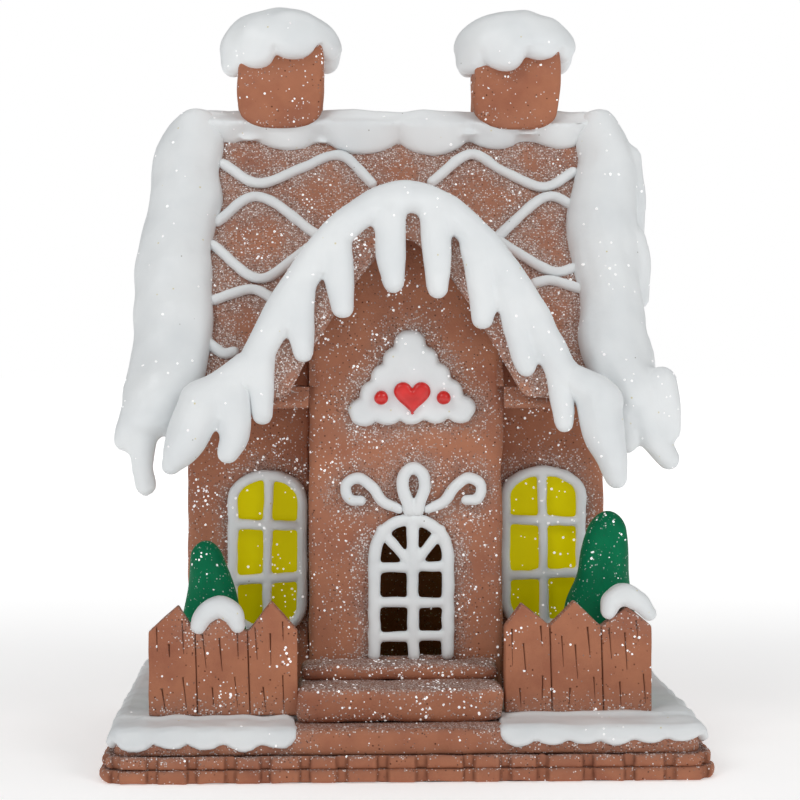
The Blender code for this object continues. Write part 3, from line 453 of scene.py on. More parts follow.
SNOW_Z, APRON_Z, YARD_X, YARD_Y, SCALLOP, HEM = 17.0, 16.2, 85.6, 64.8, 10.5, 1.7
HOUSE_FRONT = -7.0
for side, name, inner, drop, foot_roll in (
    (-1, "left", -33.5, 5.2, (-79.0, -36.0, -52.6)),
    (1, "right", 27.5, 4.2, (30.0, 77.0, -50.6)),
):
    form = bmesh.new()
    outer = side * YARD_X
    for low_y, high_y, near in ((-YARD_Y, HOUSE_FRONT, inner), (HOUSE_FRONT, YARD_Y, 0.0)):
        add_block(form, (min(near, outer), low_y, 12.8), (max(near, outer), high_y, APRON_Z), 0.0)
    add_block(form, (min(0.0, outer), -49, 13), (max(0.0, outer), YARD_Y, SNOW_Z), 0.0)
    hem = []  # x, y, then outward direction and how far the lobe hangs
    for edge_y, near in ((-YARD_Y, inner), (YARD_Y, 0.0)):
        count = round(abs(outer - near) / SCALLOP)
        for i in range(count * 9):
            t = (i + 0.5) / 9
            hem.append((near + (outer - near) * t / count, edge_y, 0, math.copysign(1, edge_y), t % 1, int(t)))
    count = round(2 * YARD_Y / SCALLOP)
    for i in range(count * 9):
        t = (i + 0.5) / 9
        hem.append((outer, YARD_Y * (2 * t / count - 1), side, 0, t % 1, int(t)))
    for x, y, out_x, out_y, part, i in hem:
        lobe = math.sqrt(max(0.0, 1 - (2 * part - 1) ** 2)) * (1 + 0.08 * math.sin(2.1 * i + side))
        low = DECK_Z - 1.7 - (drop - 0.9) * lobe
        top = (SNOW_Z if y > -49 else APRON_Z) - HEM
        line = [(x - out_x * 3, y - out_y * 3, top, HEM)]
        line.append((x + out_x * (0.3 + 0.8 * lobe), y + out_y * (0.3 + 0.8 * lobe), top - 0.3, HEM))
        bulge = 0.5 + 1.6 * lobe
        line.append((x + out_x * bulge, y + out_y * bulge, low + HEM, HEM))
        add_rope(form, line, sides=8)
    x0, x1, y = foot_roll
    add_rope(form, smooth_path([(x0 + (x1 - x0) * t, y, APRON_Z, 1.2) for t in (0, 0.2, 0.4, 0.6, 0.8, 1)]))
    data = knead(mould(form, 1.0, 2), 0.3, 9.0, 5 + side)
    show(f"yard_snow_{name}", data, ICING, "white_icing", f"snow_ground_{name}")

# ---------------------------------------------------------------- walls
# Sheets of the brown clay, rolled 4.5 mm thick, cut with a knife, dried flat and stood up on the slab.
# The outer corners were smoothed over with a wet finger.
FACING = {
    "front": (math.pi / 2, 0.0, 0.0),  # outline in X and Z, thickness along Y
    "side": (math.pi / 2, 0.0, math.pi / 2),  # outline in Y and Z, thickness along X
}


def add_sheet(form, outlines, facing, near, far):
    """Adds a flat sheet cut to the outlines, between two planes along its thickness, to a form."""
    curve = bpy.data.curves.new("sheet", "CURVE")
    curve.dimensions = "2D"
    curve.fill_mode = "BOTH"
    curve.extrude = abs(far - near) / 2 * MM
    for outline in outlines:
        spline = curve.splines.new("POLY")
        spline.points.add(len(outline) - 1)
        for point, (u, v) in zip(spline.points, outline):
            point.co = (u * MM, v * MM, 0.0, 1.0)
        spline.use_cyclic_u = True
    cut = bpy.data.objects.new("sheet", curve)
    middle = (near + far) / 2 * MM
    cut.location = (0, middle, 0) if facing == "front" else (middle, 0, 0)
    cut.rotation_euler = FACING[facing]
    bpy.context.scene.collection.objects.link(cut)
    bpy.context.view_layer.update()
    data = bpy.data.meshes.new_from_object(cut.evaluated_get(bpy.context.evaluated_depsgraph_get()))
    data.transform(cut.matrix_world)
    bpy.data.objects.remove(cut, do_unlink=True)
    form.from_mesh(data)
    bmesh.ops.remove_doubles(form, verts=form.verts, dist=1e-6)


def arch_outline(x0, x1, bottom, top, shoulder, foot=0.0, steps=16):
    """An opening with a round top and, with foot, rounded lower corners."""
    middle, half = (x0 + x1) / 2, (x1 - x0) / 2
    points = [
        (middle + half * math.cos(a), top - shoulder + shoulder * math.sin(a))
        for a in (math.pi * i / steps for i in range(steps + 1))
    ]
    if not foot:
        return [*points, (x0, bottom), (x1, bottom)]
    for centre, start in ((x0 + foot, 1.0), (x1 - foot, 1.5)):
        for i in range(6):
            a = math.pi * (start + i / 10)
            points.append((centre + foot * math.cos(a), bottom + foot + foot * math.sin(a)))
    return points


def roll_edge(data, x, inward, radius, front):
    """Rounds a sheet's front edge that stands at x; inward is the direction of its face from there."""
    points = read_points(data)
    depth = radius - np.clip((points[:, 0] - x) * inward, 0, radius)
    share = np.clip(1 - (points[:, 1] - front) / radius, 0, 1)
    points[:, 1] += share * (radius - np.sqrt(radius**2 - depth**2)) * 0.8
    write_points(data, points)


WALL = 4.5
WALL_LEFT, WALL_RIGHT, WALL_BACK = -68.5, 65.5, 47.0
PORCH_LEFT, PORCH_RIGHT = -29.5, 31.0
RIDGE_Y, RIDGE_Z, ROOF_RISE, ROOF_THICKNESS = 20.0, 200.0, 1.72, 5.0
SLANT = math.hypot(1.0, ROOF_RISE)


def under_roof(y):
    return RIDGE_Z - abs(y - RIDGE_Y) * ROOF_RISE - ROOF_THICKNESS * SLANT


EAVE_WALL = under_roof(HOUSE_FRONT)
WINDOWS = {"left": (-55.7, -30.1, 35.2, 88.0), "right": (31.6, 59.4, 36.2, 89.2)}
for side, x0, x1, corner, inward in (
    ("left", WALL_LEFT, PORCH_LEFT, WALL_LEFT, 1),
    ("right", PORCH_RIGHT, WALL_RIGHT, WALL_RIGHT, -1),
):
    left, right, bottom, top = WINDOWS[side]
    hole = arch_outline(left + 1.6, right - 1.6, bottom + 1.6, top - 1.6, 8, 7)
    form = bmesh.new()
    add_sheet(form, [[(x0, 15.3), (x1, 15.3), (x1, EAVE_WALL), (x0, EAVE_WALL)], hole], "front", -7.0, -2.5)
    data = mould(form, 1.3, 2)
    roll_edge(data, corner, inward, 4.0, HOUSE_FRONT)
    show(f"front_wall_{side}", knead(data, 0.25, 16.0, 21 + inward), GINGER, "ginger_clay", f"wall_front_{side}")
form = bmesh.new()
outline = [(WALL_LEFT, 15.3), (WALL_RIGHT, 15.3), (WALL_RIGHT, EAVE_WALL), (WALL_LEFT, EAVE_WALL)]
add_sheet(form, [outline], "front", WALL_BACK - WALL, WALL_BACK)
show("back_wall", knead(mould(form, 2.1, 2), 0.3, 18.0, 24), GINGER, "ginger_clay", "wall_back")
for side, x0 in (("left", WALL_LEFT), ("right", WALL_RIGHT - WALL)):
    y0, y1 = HOUSE_FRONT + WALL - 0.2, WALL_BACK - WALL + 0.2
    outline = [(y0, 15.3), (y1, 15.3), (y1, under_roof(y1)), (RIDGE_Y, under_roof(RIDGE_Y)), (y0, under_roof(y0))]
    form = bmesh.new()
    add_sheet(form, [outline], "side", x0, x0 + WALL)
    data = knead(mould(form, 1.8, 2), 0.3, 16.0, 25 + int(x0 > 0))
    show(f"side_wall_{side}", data, GINGER, "ginger_clay", f"wall_side_{side}")

# ---------------------------------------------------------------- windows
# Ropes of white icing clay bent into an arched frame and pressed on round the opening, with thinner
# ones across it. A sheet of clear yellow film is glued behind. Its glow is painted light: the film emits
# light of its own, standing in for a lamp inside.


def lit_yellow_film():
    """Clear yellow plastic film with a painted glow: it emits its own colour, standing in for a lamp behind
    it. Colour and glow are darker towards the sill as painted shade, with soft patches, and the front is
    smooth and glossy."""
    made, tree, shader = new_material(
        "lit_yellow_film", Roughness=0.35, IOR=1.5, Specular_IOR_Level=0.06, Emission_Strength=0.42
    )
    place = add_node(tree, "TexCoord").outputs["Object"]
    height = add_node(tree, "SeparateXYZ", {}, {"Vector": place}).outputs["Z"]
    fade = {"Value": height, "From Min": 36 * MM, "From Max": 60 * MM}
    glow = add_node(tree, "MapRange", {}, fade).outputs["Result"]
    cloud = add_node(tree, "TexNoise", {}, {"Vector": place, "Scale": 1000 / 16, "Detail": 2.0}).outputs["Fac"]
    mixed = {0: glow, 1: 0.75, 2: add_node(tree, "Math", {"operation": "MULTIPLY"}, {0: cloud, 1: 0.5}).outputs[0]}
    level = add_node(tree, "Math", {"operation": "MULTIPLY_ADD"}, mixed).outputs[0]
    # painted shade: darker and dimmer yellow towards the sill, with soft patches
    tones = ((0.2, "979200"), (0.6, "A59B00"), (0.95, "BDB100"))
    colour = add_node(tree, "ValToRGB", {"stops": tones}, {"Fac": level}).outputs["Color"]
    tree.links.new(colour, shader.inputs["Base Color"])
    # painted glow: the film emits light in its own colour
    tree.links.new(colour, shader.inputs["Emission Color"])
    ripple = add_node(tree, "TexNoise", {}, {"Vector": place, "Scale": 1000 / 7}).outputs["Fac"]
    bump = add_node(tree, "Bump", {}, {"Strength": 0.3, "Distance": 0.4 * MM, "Height": ripple})
    tree.links.new(bump.outputs["Normal"], shader.inputs["Normal"])
    return made


FILM = lit_yellow_film()


def flatten(data, y, share):
    """Presses ropes flat against a wall at y, to that share of their depth."""
    points = read_points(data)
    points[:, 1] = y + (points[:, 1] - y) * share
    write_points(data, points)
    return data


FRAME_ROPE, BAR_ROPE = 1.7, 1.6
for side, (x0, x1, z0, z1) in WINDOWS.items():
    y = HOUSE_FRONT - 1.4
    rope = FRAME_ROPE
    line = arch_outline(x0 + rope, x1 - rope, z0 + rope, z1 - rope, 8, 8)
    form = bmesh.new()
    add_rope(form, [(x, y, z, rope) for x, z in line], closed=True)
    middle = (x0 + x1) / 2
    lean = 0.4 if side == "left" else -0.5
    add_rope(form, smooth_path([(middle - lean, y, z0 + rope, BAR_ROPE), (middle, y, (z0 + z1) / 2, BAR_ROPE - 0.1),
                                (middle + lean, y, z1 - rope, BAR_ROPE)]))
    for share, sag in ((0.34, 0.5), (0.665, -0.3)):
        z = z0 + share * (z1 - z0)
        add_rope(form, smooth_path([(x0 + rope, y, z - sag, BAR_ROPE), (middle, y, z, BAR_ROPE),
                                    (x1 - rope, y, z + sag, BAR_ROPE)]))
    data = flatten(mould(form, 0.53, 2), HOUSE_FRONT, 0.95)
    show(f"window_ropes_{side}", knead(data, 0.12, 6.0, 31), ICING, "white_icing", f"window_frame_{side}")
    form = bmesh.new()
    add_sheet(form, [arch_outline(x0 + 1.6, x1 - 1.6, z0 + 1.6, z1 - 1.6, 8, 7)], "front", -5.9, -4.7)
    data = bpy.data.meshes.new("film")
    bmesh.ops.triangulate(form, faces=form.faces)
    form.to_mesh(data)
    form.free()
    pane = show(f"window_pane_{side}", data, FILM, "yellow_film", f"window_film_{side}")
    data.shade_flat()

# ---------------------------------------------------------------- porch walls
# The tall front is cut from the same brown sheet, with a bell-shaped gable and an arched doorway. Two
# narrow strips close its sides against the house.
BELL_APEX, BELL_FALL, BELL_WIDTH, BELL_POWER = 178.0, 59.0, 54.0, 1.9
FLARE_Z, FLARE_FALL, BELL_END = 121.0, 0.4, 66.0
ICING_DEPTH, SHEET_DEPTH = 5.0, 5.0


def bell_height(x, inset=0.0):
    """Height of the finished porch roof across the front, icing included; inset moves it inwards."""
    dome = BELL_APEX - inset - BELL_FALL * (abs(x) / (BELL_WIDTH - 0.8 * inset)) ** BELL_POWER
    flare = FLARE_Z - inset - FLARE_FALL * (abs(x) - BELL_WIDTH)
    return 0.5 * (dome + flare + math.hypot(dome - flare, 2.0))


def bell_line(inset, steps=60, end=BELL_END):
    """Points of the bell curve from left to right."""
    xs = [end * (2 * i / steps - 1) for i in range(steps + 1)]
    return [(x, bell_height(x, inset)) for x in xs]


DOOR_LEFT, DOOR_RIGHT, DOOR_TOP = -11.2, 15.8, 75.5
middle, half = (PORCH_LEFT + PORCH_RIGHT) / 2, (PORCH_RIGHT - PORCH_LEFT) / 2
gable = [(x, bell_height(x, ICING_DEPTH + SHEET_DEPTH)) for x in (middle + half * (1 - i / 15) for i in range(31))]
doorway = arch_outline(DOOR_LEFT + 2, DOOR_RIGHT - 2, STEP_Z + 0.4, DOOR_TOP - 2, 11.5)
form = bmesh.new()
outline = [(middle - half, 15.3), (middle + half, 15.3), *gable]
add_sheet(form, [outline, doorway], "front", PORCH_FRONT, PORCH_FRONT + WALL)
data = mould(form, 1.2, 2)
for x, inward in ((PORCH_LEFT, 1), (PORCH_RIGHT, -1)):
    roll_edge(data, x, inward, 2.2, PORCH_FRONT)
show("porch_front_wall", knead(data, 0.25, 15.0, 41), GINGER, "ginger_clay", "porch_front")
for side, x0 in (("left", PORCH_LEFT), ("right", PORCH_RIGHT - WALL)):
    form = bmesh.new()
    add_block(form, (x0, PORCH_FRONT + WALL - 0.2, 15.3), (x0 + WALL, HOUSE_FRONT + 2, 139.0))
    data = knead(mould(form, 1.6, 1), 0.2, 14.0, 43 + int(x0 > 0))
    show(f"porch_side_wall_{side}", data, GINGER, "ginger_clay", f"porch_side_{side}")

# ---------------------------------------------------------------- door
# Ropes of icing clay, flattened a little, make the arched frame, its cross bars and a fan. A loop and
# two scrolls are rolled separately and pressed on over it.
ROPE, THIN_ROPE, UPRIGHT_ROPE = 2.0, 1.65, 1.9
DOOR_Y = PORCH_FRONT - 1.6
CROSS_Z = (36.9, 47.5, 58.6)
DOOR_MIDDLE = (DOOR_LEFT + DOOR_RIGHT) / 2
UPRIGHT_X, FAN_REACH, FAN_Z = DOOR_MIDDLE + 0.4, 9.3, 70.2
left, right, top = DOOR_LEFT + ROPE, DOOR_RIGHT - ROPE, DOOR_TOP - ROPE
arch = arch_outline(left, right, STEP_Z + 1.2, top, 11.5)
form = bmesh.new()
add_rope(form, [(x, DOOR_Y, z, ROPE) for x, z in (arch[-1], *arch[:-1])])
for z, tilt in zip(CROSS_Z, (0.3, -0.2, 0.2)):
    add_rope(form, [(left, DOOR_Y, z - tilt, THIN_ROPE), (right, DOOR_Y, z + tilt, THIN_ROPE)])
add_rope(form, [(UPRIGHT_X + 0.3, DOOR_Y, STEP_Z + 1, UPRIGHT_ROPE), (UPRIGHT_X, DOOR_Y, top, UPRIGHT_ROPE)])
for reach in (-FAN_REACH, FAN_REACH):
    add_rope(form, [(UPRIGHT_X, DOOR_Y, CROSS_Z[2], THIN_ROPE), (DOOR_MIDDLE + reach, DOOR_Y, FAN_Z, THIN_ROPE)])
data = flatten(mould(form, 0.5, 2), PORCH_FRONT, 0.85)
show("door_ropes", knead(data, 0.12, 6.0, 51), ICING, "white_icing", "door_lattice")

LOOP_X, LOOP_LOW, LOOP_HIGH = 3.0, 76.2, 89.6
line = [(LOOP_X - 1.4, LOOP_LOW), (LOOP_X - 2.0, 79.0), (LOOP_X - 3.4, 83.4), (LOOP_X - 2.9, 87.6), (LOOP_X, LOOP_HIGH)]
line = [*line, *((2 * LOOP_X - x, z) for x, z in reversed(line[:-1]))]
form = bmesh.new()
add_rope(form, smooth_path([(x, DOOR_Y - 0.3, z, 1.95) for x, z in line]))
show("door_top_loop", knead(mould(form, 0.4, 2), 0.08, 5.0, 52), ICING, "white_icing", "door_loop")
SCROLL = ((4.6, 76.8, 1.5), (9.5, 79.0, 1.8), (12.8, 83.6, 1.8), (17.0, 86.4, 1.8), (21.0, 84.4, 1.75), (20.2, 80.0, 1.7), (16.4, 79.4, 1.6))
for side, sign in (("left", -1), ("right", 1)):
    form = bmesh.new()
    add_rope(form, smooth_path([(LOOP_X + sign * x, DOOR_Y, z, r) for x, z, r in SCROLL]))
    data = knead(mould(form, 0.4, 2), 0.1, 5.0, 53 + sign)
    show(f"door_curl_{side}", data, ICING, "white_icing", f"door_scroll_{side}")

# ---------------------------------------------------------------- plaque
# A three-cornered pillow of icing clay with a scalloped edge, pressed on the gable. A red heart and two
# red berries of glossy clay are stuck on it.


def glossy_red_clay():
    """Bright red polymer clay, rolled smooth and varnished: an even colour with a soft highlight."""
    made, tree, shader = new_material("glossy_red_clay", IOR=1.52, Coat_Weight=0.3, Coat_Roughness=0.2)
    place = add_node(tree, "TexCoord").outputs["Object"]
    patches = add_node(tree, "TexNoise", {}, {"Vector": place, "Scale": 1000 / 4, "Detail": 2.0}).outputs["Fac"]
    tones = ((0.3, "C71A17"), (0.7, "E22522"))
    colour = add_node(tree, "ValToRGB", {"stops": tones}, {"Fac": patches}).outputs["Color"]
    tree.links.new(colour, shader.inputs["Base Color"])
    soft = {"Value": patches, "To Min": 0.3, "To Max": 0.45}
    tree.links.new(add_node(tree, "MapRange", {}, soft).outputs["Result"], shader.inputs["Roughness"])
    bump = add_node(tree, "Bump", {}, {"Strength": 0.25, "Distance": 0.3 * MM, "Height": patches})
    tree.links.new(bump.outputs["Normal"], shader.inputs["Normal"])
    return made


RED = glossy_red_clay()


def add_pillow(form, outline, back, depth, rim, steps=7):
    """Adds a puffy sheet: its outline steps in and forward along a quarter round of width rim."""
    loop = [np.array(p, float) for p in outline]
    centre = sum(loop) / len(loop)
    outer = []
    for i, point in enumerate(loop):
        ahead = loop[(i + 1) % len(loop)] - loop[i - 1]
        out = np.array([ahead[1], -ahead[0]]) / (np.hypot(*ahead) + 1e-9)
        outer.append(out if out @ (point - centre) > 0 else -out)
    rings = [[form.verts.new((p[0] * MM, back * MM, p[1] * MM)) for p in loop]]
    for j in range(steps):
        a = math.pi / 2 * j / (steps - 1)
        ring = []
        for point, out in zip(loop, outer):
            spot = point - out * rim * (1 - math.cos(a))
            ring.append(form.verts.new((spot[0] * MM, (back - depth * (0.35 + 0.65 * math.sin(a))) * MM, spot[1] * MM)))
        rings.append(ring)
    count = len(loop)
    for ring, after in zip(rings, rings[1:]):
        for k in range(count):
            form.faces.new((ring[k], ring[(k + 1) % count], after[(k + 1) % count], after[k]))
    form.faces.new(rings[0])
    form.faces.new(rings[-1])
    bmesh.ops.recalc_face_normals(form, faces=form.faces)


PLAQUE_CORNERS = ((-16.2, 105.4), (21.2, 106.4), (1.9, 131.6))
SCALLOPS = 5
outline = []
for i, (x0, z0) in enumerate(PLAQUE_CORNERS):
    x1, z1 = PLAQUE_CORNERS[(i + 1) % 3]
    out = Vector((z1 - z0, x0 - x1)).normalized()
    for j in range(SCALLOPS * 8):
        t = j / (SCALLOPS * 8)
        bulge = 1.3 + 1.6 * abs(math.sin(math.pi * SCALLOPS * t)) ** 0.7
        outline.append((x0 + (x1 - x0) * t + out.x * bulge, z0 + (z1 - z0) * t + out.y * bulge))
form = bmesh.new()
add_pillow(form, outline, PORCH_FRONT, 3.3, 2.2)
show("plaque_pillow", knead(mould(form, 0.55, 4), 0.15, 9.0, 61), ICING, "white_icing", "plaque")
HEART, MOTIF_Z, PLAQUE_FACE = 0.36, 111.5, -28.1
heart = []
for i in range(48):
    a = 2 * math.pi * i / 48
    x = 16 * math.sin(a) ** 3
    z = 13 * math.cos(a) - 5 * math.cos(2 * a) - 2 * math.cos(3 * a) - math.cos(4 * a)
    heart.append((2.5 + HEART * x, MOTIF_Z + 0.6 + HEART * z))
form = bmesh.new()
add_pillow(form, heart, PLAQUE_FACE, 2.1, 1.6)
show("plaque_red_heart", mould(form, 0.25, 6), RED, "red_clay", "plaque_heart")
for side, x in (("left", -7.2), ("right", 12.2)):
    form = bmesh.new()
    add_pad(form, (x, PLAQUE_FACE - 1.4, MOTIF_Z), (2.2, 2.0, 2.2))
    data = knead(mould(form, 0.25, 3), 0.06, 3.0, 62)
    show(f"plaque_red_berry_{side}", data, RED, "red_clay", f"plaque_berry_{side}")

# ---------------------------------------------------------------- main roof
# Two slabs of brown clay leaned together at the ridge. The front one is cut away where the porch runs
# into it.


def roof_y(z, lift=0.0, side=-1):
    """The Y of the roof's outer face at a height, raised off it by lift; side is -1 in front, 1 behind."""
    return RIDGE_Y + side * ((RIDGE_Z - z) / ROOF_RISE + lift * SLANT / ROOF_RISE)


ROOF_HALF, RUN_FRONT, RUN_BACK, EAVE_EDGE = 75.0, 52.0, 44.0, 2.5
SLIT, SLIT_FOOT = 7.5, 115.0  # a gap left on both sides of the porch, above the eave
for side, reach, sign, voxel in (("front", RUN_FRONT, -1, 1.5), ("back", RUN_BACK, 1, 1.7)):
    deep = ROOF_THICKNESS * SLANT
    edge, low = RIDGE_Y + sign * reach, RIDGE_Z - reach * ROOF_RISE
    inner = edge - sign * (deep - EAVE_EDGE) / ROOF_RISE
    outline = [(RIDGE_Y, RIDGE_Z), (edge, low), (edge, low - EAVE_EDGE), (inner, low - EAVE_EDGE)]
    outline.append((RIDGE_Y, RIDGE_Z - deep))
    form = bmesh.new()
    add_sheet(form, [outline], "side", -ROOF_HALF, ROOF_HALF)
    data = mould(form, voxel, 2)
    if side == "front":
        throat = bmesh.new()
        add_sheet(throat, [[(middle - half, 60), (middle + half, 60), *gable]], "front", -60, -2.5)
        add_block(throat, (middle - half - SLIT, -60, SLIT_FOOT), (middle - half + 2, -10, 140))
        add_block(throat, (middle + half - 2, -60, SLIT_FOOT), (middle + half + SLIT, -10, 140))
        cutter = bpy.data.meshes.new("throat")
        throat.to_mesh(cutter)
        throat.free()
        knife = bpy.data.objects.new("throat", cutter)
        slab = bpy.data.objects.new("slab", data)
        for made in (knife, slab):
            bpy.context.scene.collection.objects.link(made)
        cut = slab.modifiers.new("cut", "BOOLEAN")
        cut.operation, cut.solver, cut.object = "DIFFERENCE", "MANIFOLD", knife
        data = bpy.data.meshes.new_from_object(slab.evaluated_get(bpy.context.evaluated_depsgraph_get()))
        for made in (knife, slab):
            bpy.data.objects.remove(made, do_unlink=True)
    data = knead(data, 0.3, 20.0, 71 + sign)
    show(f"roof_slab_{side}", data, GINGER, "ginger_clay", f"roof_{side}")

# ---------------------------------------------------------------- icing swags
# Thin ropes of white icing clay piped over the roof in waves, touching the clay along their whole
# length, with their ends tucked under the snow.
SWAG_ROPE = 1.75
FRONT_SWAGS = {  # x and height of the points each rope runs through
    "a_left": ((-57.6, 187.0), (-46.2, 180.4), (-32, 185.5), (-19.4, 190.0), (-9.0, 180.5)),
    "a_right": ((10.6, 181.0), (23.4, 190.6), (33.7, 185.0), (46.8, 179.3), (57.0, 184.6)),
    "b_left": ((-59.0, 167.5), (-46.1, 176.0), (-29.5, 165.0), (-23.0, 160.0)),
    "b_right": ((30.5, 162.0), (47.0, 175.8), (56.5, 173.0)),
    "c_left": ((-60.5, 160.0), (-45.7, 148.9), (-33.0, 156.5), (-27.0, 161.0)),
    "c_right": ((31.0, 161.5), (47.4, 151.6), (56.0, 152.8)),
    "d_left": ((-59.5, 142.0), (-48.5, 145.4), (-42.5, 143.4), (-37.0, 138.0)),
    "d_right": ((42.5, 147.6), (48.2, 148.4), (57.0, 145.6)),
    "e_left": ((-63.0, 130.5), (-56.5, 125.4), (-53.0, 125.8)),
}


def pipe_swag(name, node, points, side):
    form = bmesh.new()
    line = [(x, roof_y(z, SWAG_ROPE * 0.55, side), z, SWAG_ROPE) for x, z in points]
    add_rope(form, smooth_path(line, 8))
    show(name, knead(mould(form, 0.62, 1), 0.1, 6.0, 81), ICING, "white_icing", node)


for name, points in FRONT_SWAGS.items():
    pipe_swag(f"swag_{name}", f"icing_{name}", points, -1)
for row, (z, wave) in enumerate(((181, 1), (163, -1), (145, 1))):
    xs = [57 * (i / 12 - 1) for i in range(25)]
    points = [(x, z + wave * 5 * math.cos(2 * math.pi * x / 36)) for x in xs]
    pipe_swag(f"swag_back_{row + 1}", f"icing_back_{row + 1}", points, 1)

# ---------------------------------------------------------------- porch roof
# A strip of brown clay bent over a bell-shaped former, with a board of the same clay across its front
# that is cut to the same curve.
PORCH_ROOF_FRONT, BOARD = -41.0, 4.0
outline = [*bell_line(ICING_DEPTH), *reversed(bell_line(ICING_DEPTH + SHEET_DEPTH))]
form = bmesh.new()
add_sheet(form, [outline], "front", PORCH_ROOF_FRONT + BOARD, RIDGE_Y - 6)
data = mould(form, 1.3, 2)
points = read_points(data)
slope_y = RIDGE_Y - (RIDGE_Z - points[:, 2]) / ROOF_RISE + 2.0
points[:, 1] = np.minimum(points[:, 1], np.maximum(slope_y, PORCH_ROOF_FRONT + BOARD + 6))
write_points(data, points)
show("porch_roof_sheet", knead(data, 0.25, 16.0, 91), GINGER, "ginger_clay", "porch_roof")
BARGE_APEX, BARGE_WIDTH, BARGE_FOOT, BARGE_POWER = 160.5, 36.0, 112.0, 1.45


def barge_line(x):
    """Height of the board's lower edge across the front."""
    arch = BARGE_APEX - (BARGE_APEX - BARGE_FOOT) * (abs(x) / BARGE_WIDTH) ** BARGE_POWER
    return max(BARGE_FOOT - 0.3 * max(0.0, abs(x) - 44), arch)


top = bell_line(ICING_DEPTH)[1:-1]
form = bmesh.new()
add_sheet(form, [[*top, *((x, barge_line(x)) for x, z in reversed(top))]], "front", PORCH_ROOF_FRONT, PORCH_ROOF_FRONT + BOARD)
show("porch_barge_board", knead(mould(form, 1.1, 2), 0.2, 14.0, 92), GINGER, "ginger_clay", "porch_board")

# ---------------------------------------------------------------- chimneys
# Two blocks of brown clay with softened corners, set into the snow on the ridge, each with a thick cap
# of icing clay pulled down into lobes.
CHIMNEYS = {"left": (-52.9, -24.9), "right": (24.6, 52.8)}
CHIMNEY_FRONT, CHIMNEY_BACK, CHIMNEY_FOOT, CHIMNEY_TOP = 10.2, 29.8, 198.6, 229.0
for side, (x0, x1) in CHIMNEYS.items():
    middle, half = (x0 + x1) / 2, (x1 - x0) / 2
    foot = [(middle + half * u, CHIMNEY_FOOT + 8 * (1 - (1 - abs(u) ** 3) ** 0.42)) for u in np.linspace(-1, 1, 41)]
    form = bmesh.new()
    add_sheet(form, [[*foot, (x1, CHIMNEY_TOP), (x0, CHIMNEY_TOP)]], "front", CHIMNEY_FRONT, CHIMNEY_BACK)
    data = knead(mould(form, 0.9, 9), 0.3, 13.0, 101 + int(x0 > 0))
    show(f"chimney_block_{side}", data, GINGER, "ginger_clay", f"chimney_{side}")
CAP_X, CAP_Y, CAP_MIDDLE, CAP_TOP, CAP_RIM = 20.4, 15.5, 225.2, 238.8, 3.7
CAP_LOBES = {  # bearing and height of each notch in the rim, and the height of the lobe that follows it
    "left": (
        *((-187, 223, 215.9), (-134, 219.5, 217.6), (-96, 223.6, 220.4), (-47, 227.6, 221.2)),
        *((5, 224, 217.5), (52, 222, 219.0), (95, 222.5, 216.5), (138, 222, 218.5)),
    ),
    "right": (
        *((-185, 223, 216.5), (-127, 220.8, 217.1), (-82, 223.2, 220.9), (-42, 223.5, 220.6)),
        *((4, 224, 218.0), (48, 222, 216.5), (92, 222.5, 219.0), (136, 222, 217.0)),
    ),
}


def cap_rim(lobes, turn):
    """How full a cap's lobe is at a bearing in degrees, and how low the rim hangs there."""
    ends = [*lobes[1:], (lobes[0][0] + 360, lobes[0][1], 0)]
    turn = (turn - lobes[0][0]) % 360 + lobes[0][0]
    for (a, high_a, low), (b, high_b, _) in zip(lobes, ends):
        if turn <= b:
            part = (turn - a) / (b - a)
            full = math.sqrt(max(0.0, 1 - (2 * part - 1) ** 2))
            high = high_a + (high_b - high_a) * part
            return full, high - (high - low) * full
    return 0.0, lobes[0][1]


for side, (x0, x1) in CHIMNEYS.items():
    form = bmesh.new()
    rings = []
    for k in range(120):
        full, low = cap_rim(CAP_LOBES[side], 3 * k - 180)
        a = math.radians(3 * k - 180)
        profile = [(math.sin(t), CAP_MIDDLE + (CAP_TOP - CAP_MIDDLE) * math.cos(t), 0) for t in np.linspace(0.02, 1.57, 12)]
        profile.append((0.965 + 0.03 * full, (CAP_MIDDLE + low + CAP_RIM) / 2, 0))
        for t in np.linspace(0, math.pi, 9):
            tuck = CAP_RIM * (1 - math.cos(t))
            profile.append((0.92 + 0.07 * full, low + CAP_RIM * (1 - math.sin(t)), tuck))
        profile += [(0.92, CAP_MIDDLE, 2 * CAP_RIM), (0.05, CAP_MIDDLE, 0)]
        ring = []
        for share, z, tuck in profile:
            x = (CAP_X * share - tuck) * math.cos(a)
            y = (CAP_Y * share - tuck) * math.sin(a)
            ring.append(form.verts.new(Vector(((x0 + x1) / 2 + x, RIDGE_Y + y, z)) * MM))
        rings.append(ring)
    for ring, after in zip(rings, [*rings[1:], rings[0]]):
        for j in range(len(ring) - 1):
            form.faces.new((ring[j], ring[j + 1], after[j + 1], after[j]))
    form.faces.new([ring[0] for ring in rings])
    form.faces.new([ring[-1] for ring in reversed(rings)])
    data = knead(mould(form, 0.85, 4), 0.25, 10.0, 103 + int(x0 > 0))
    show(f"chimney_cap_{side}", data, ICING, "white_icing", f"chimney_snow_{side}")

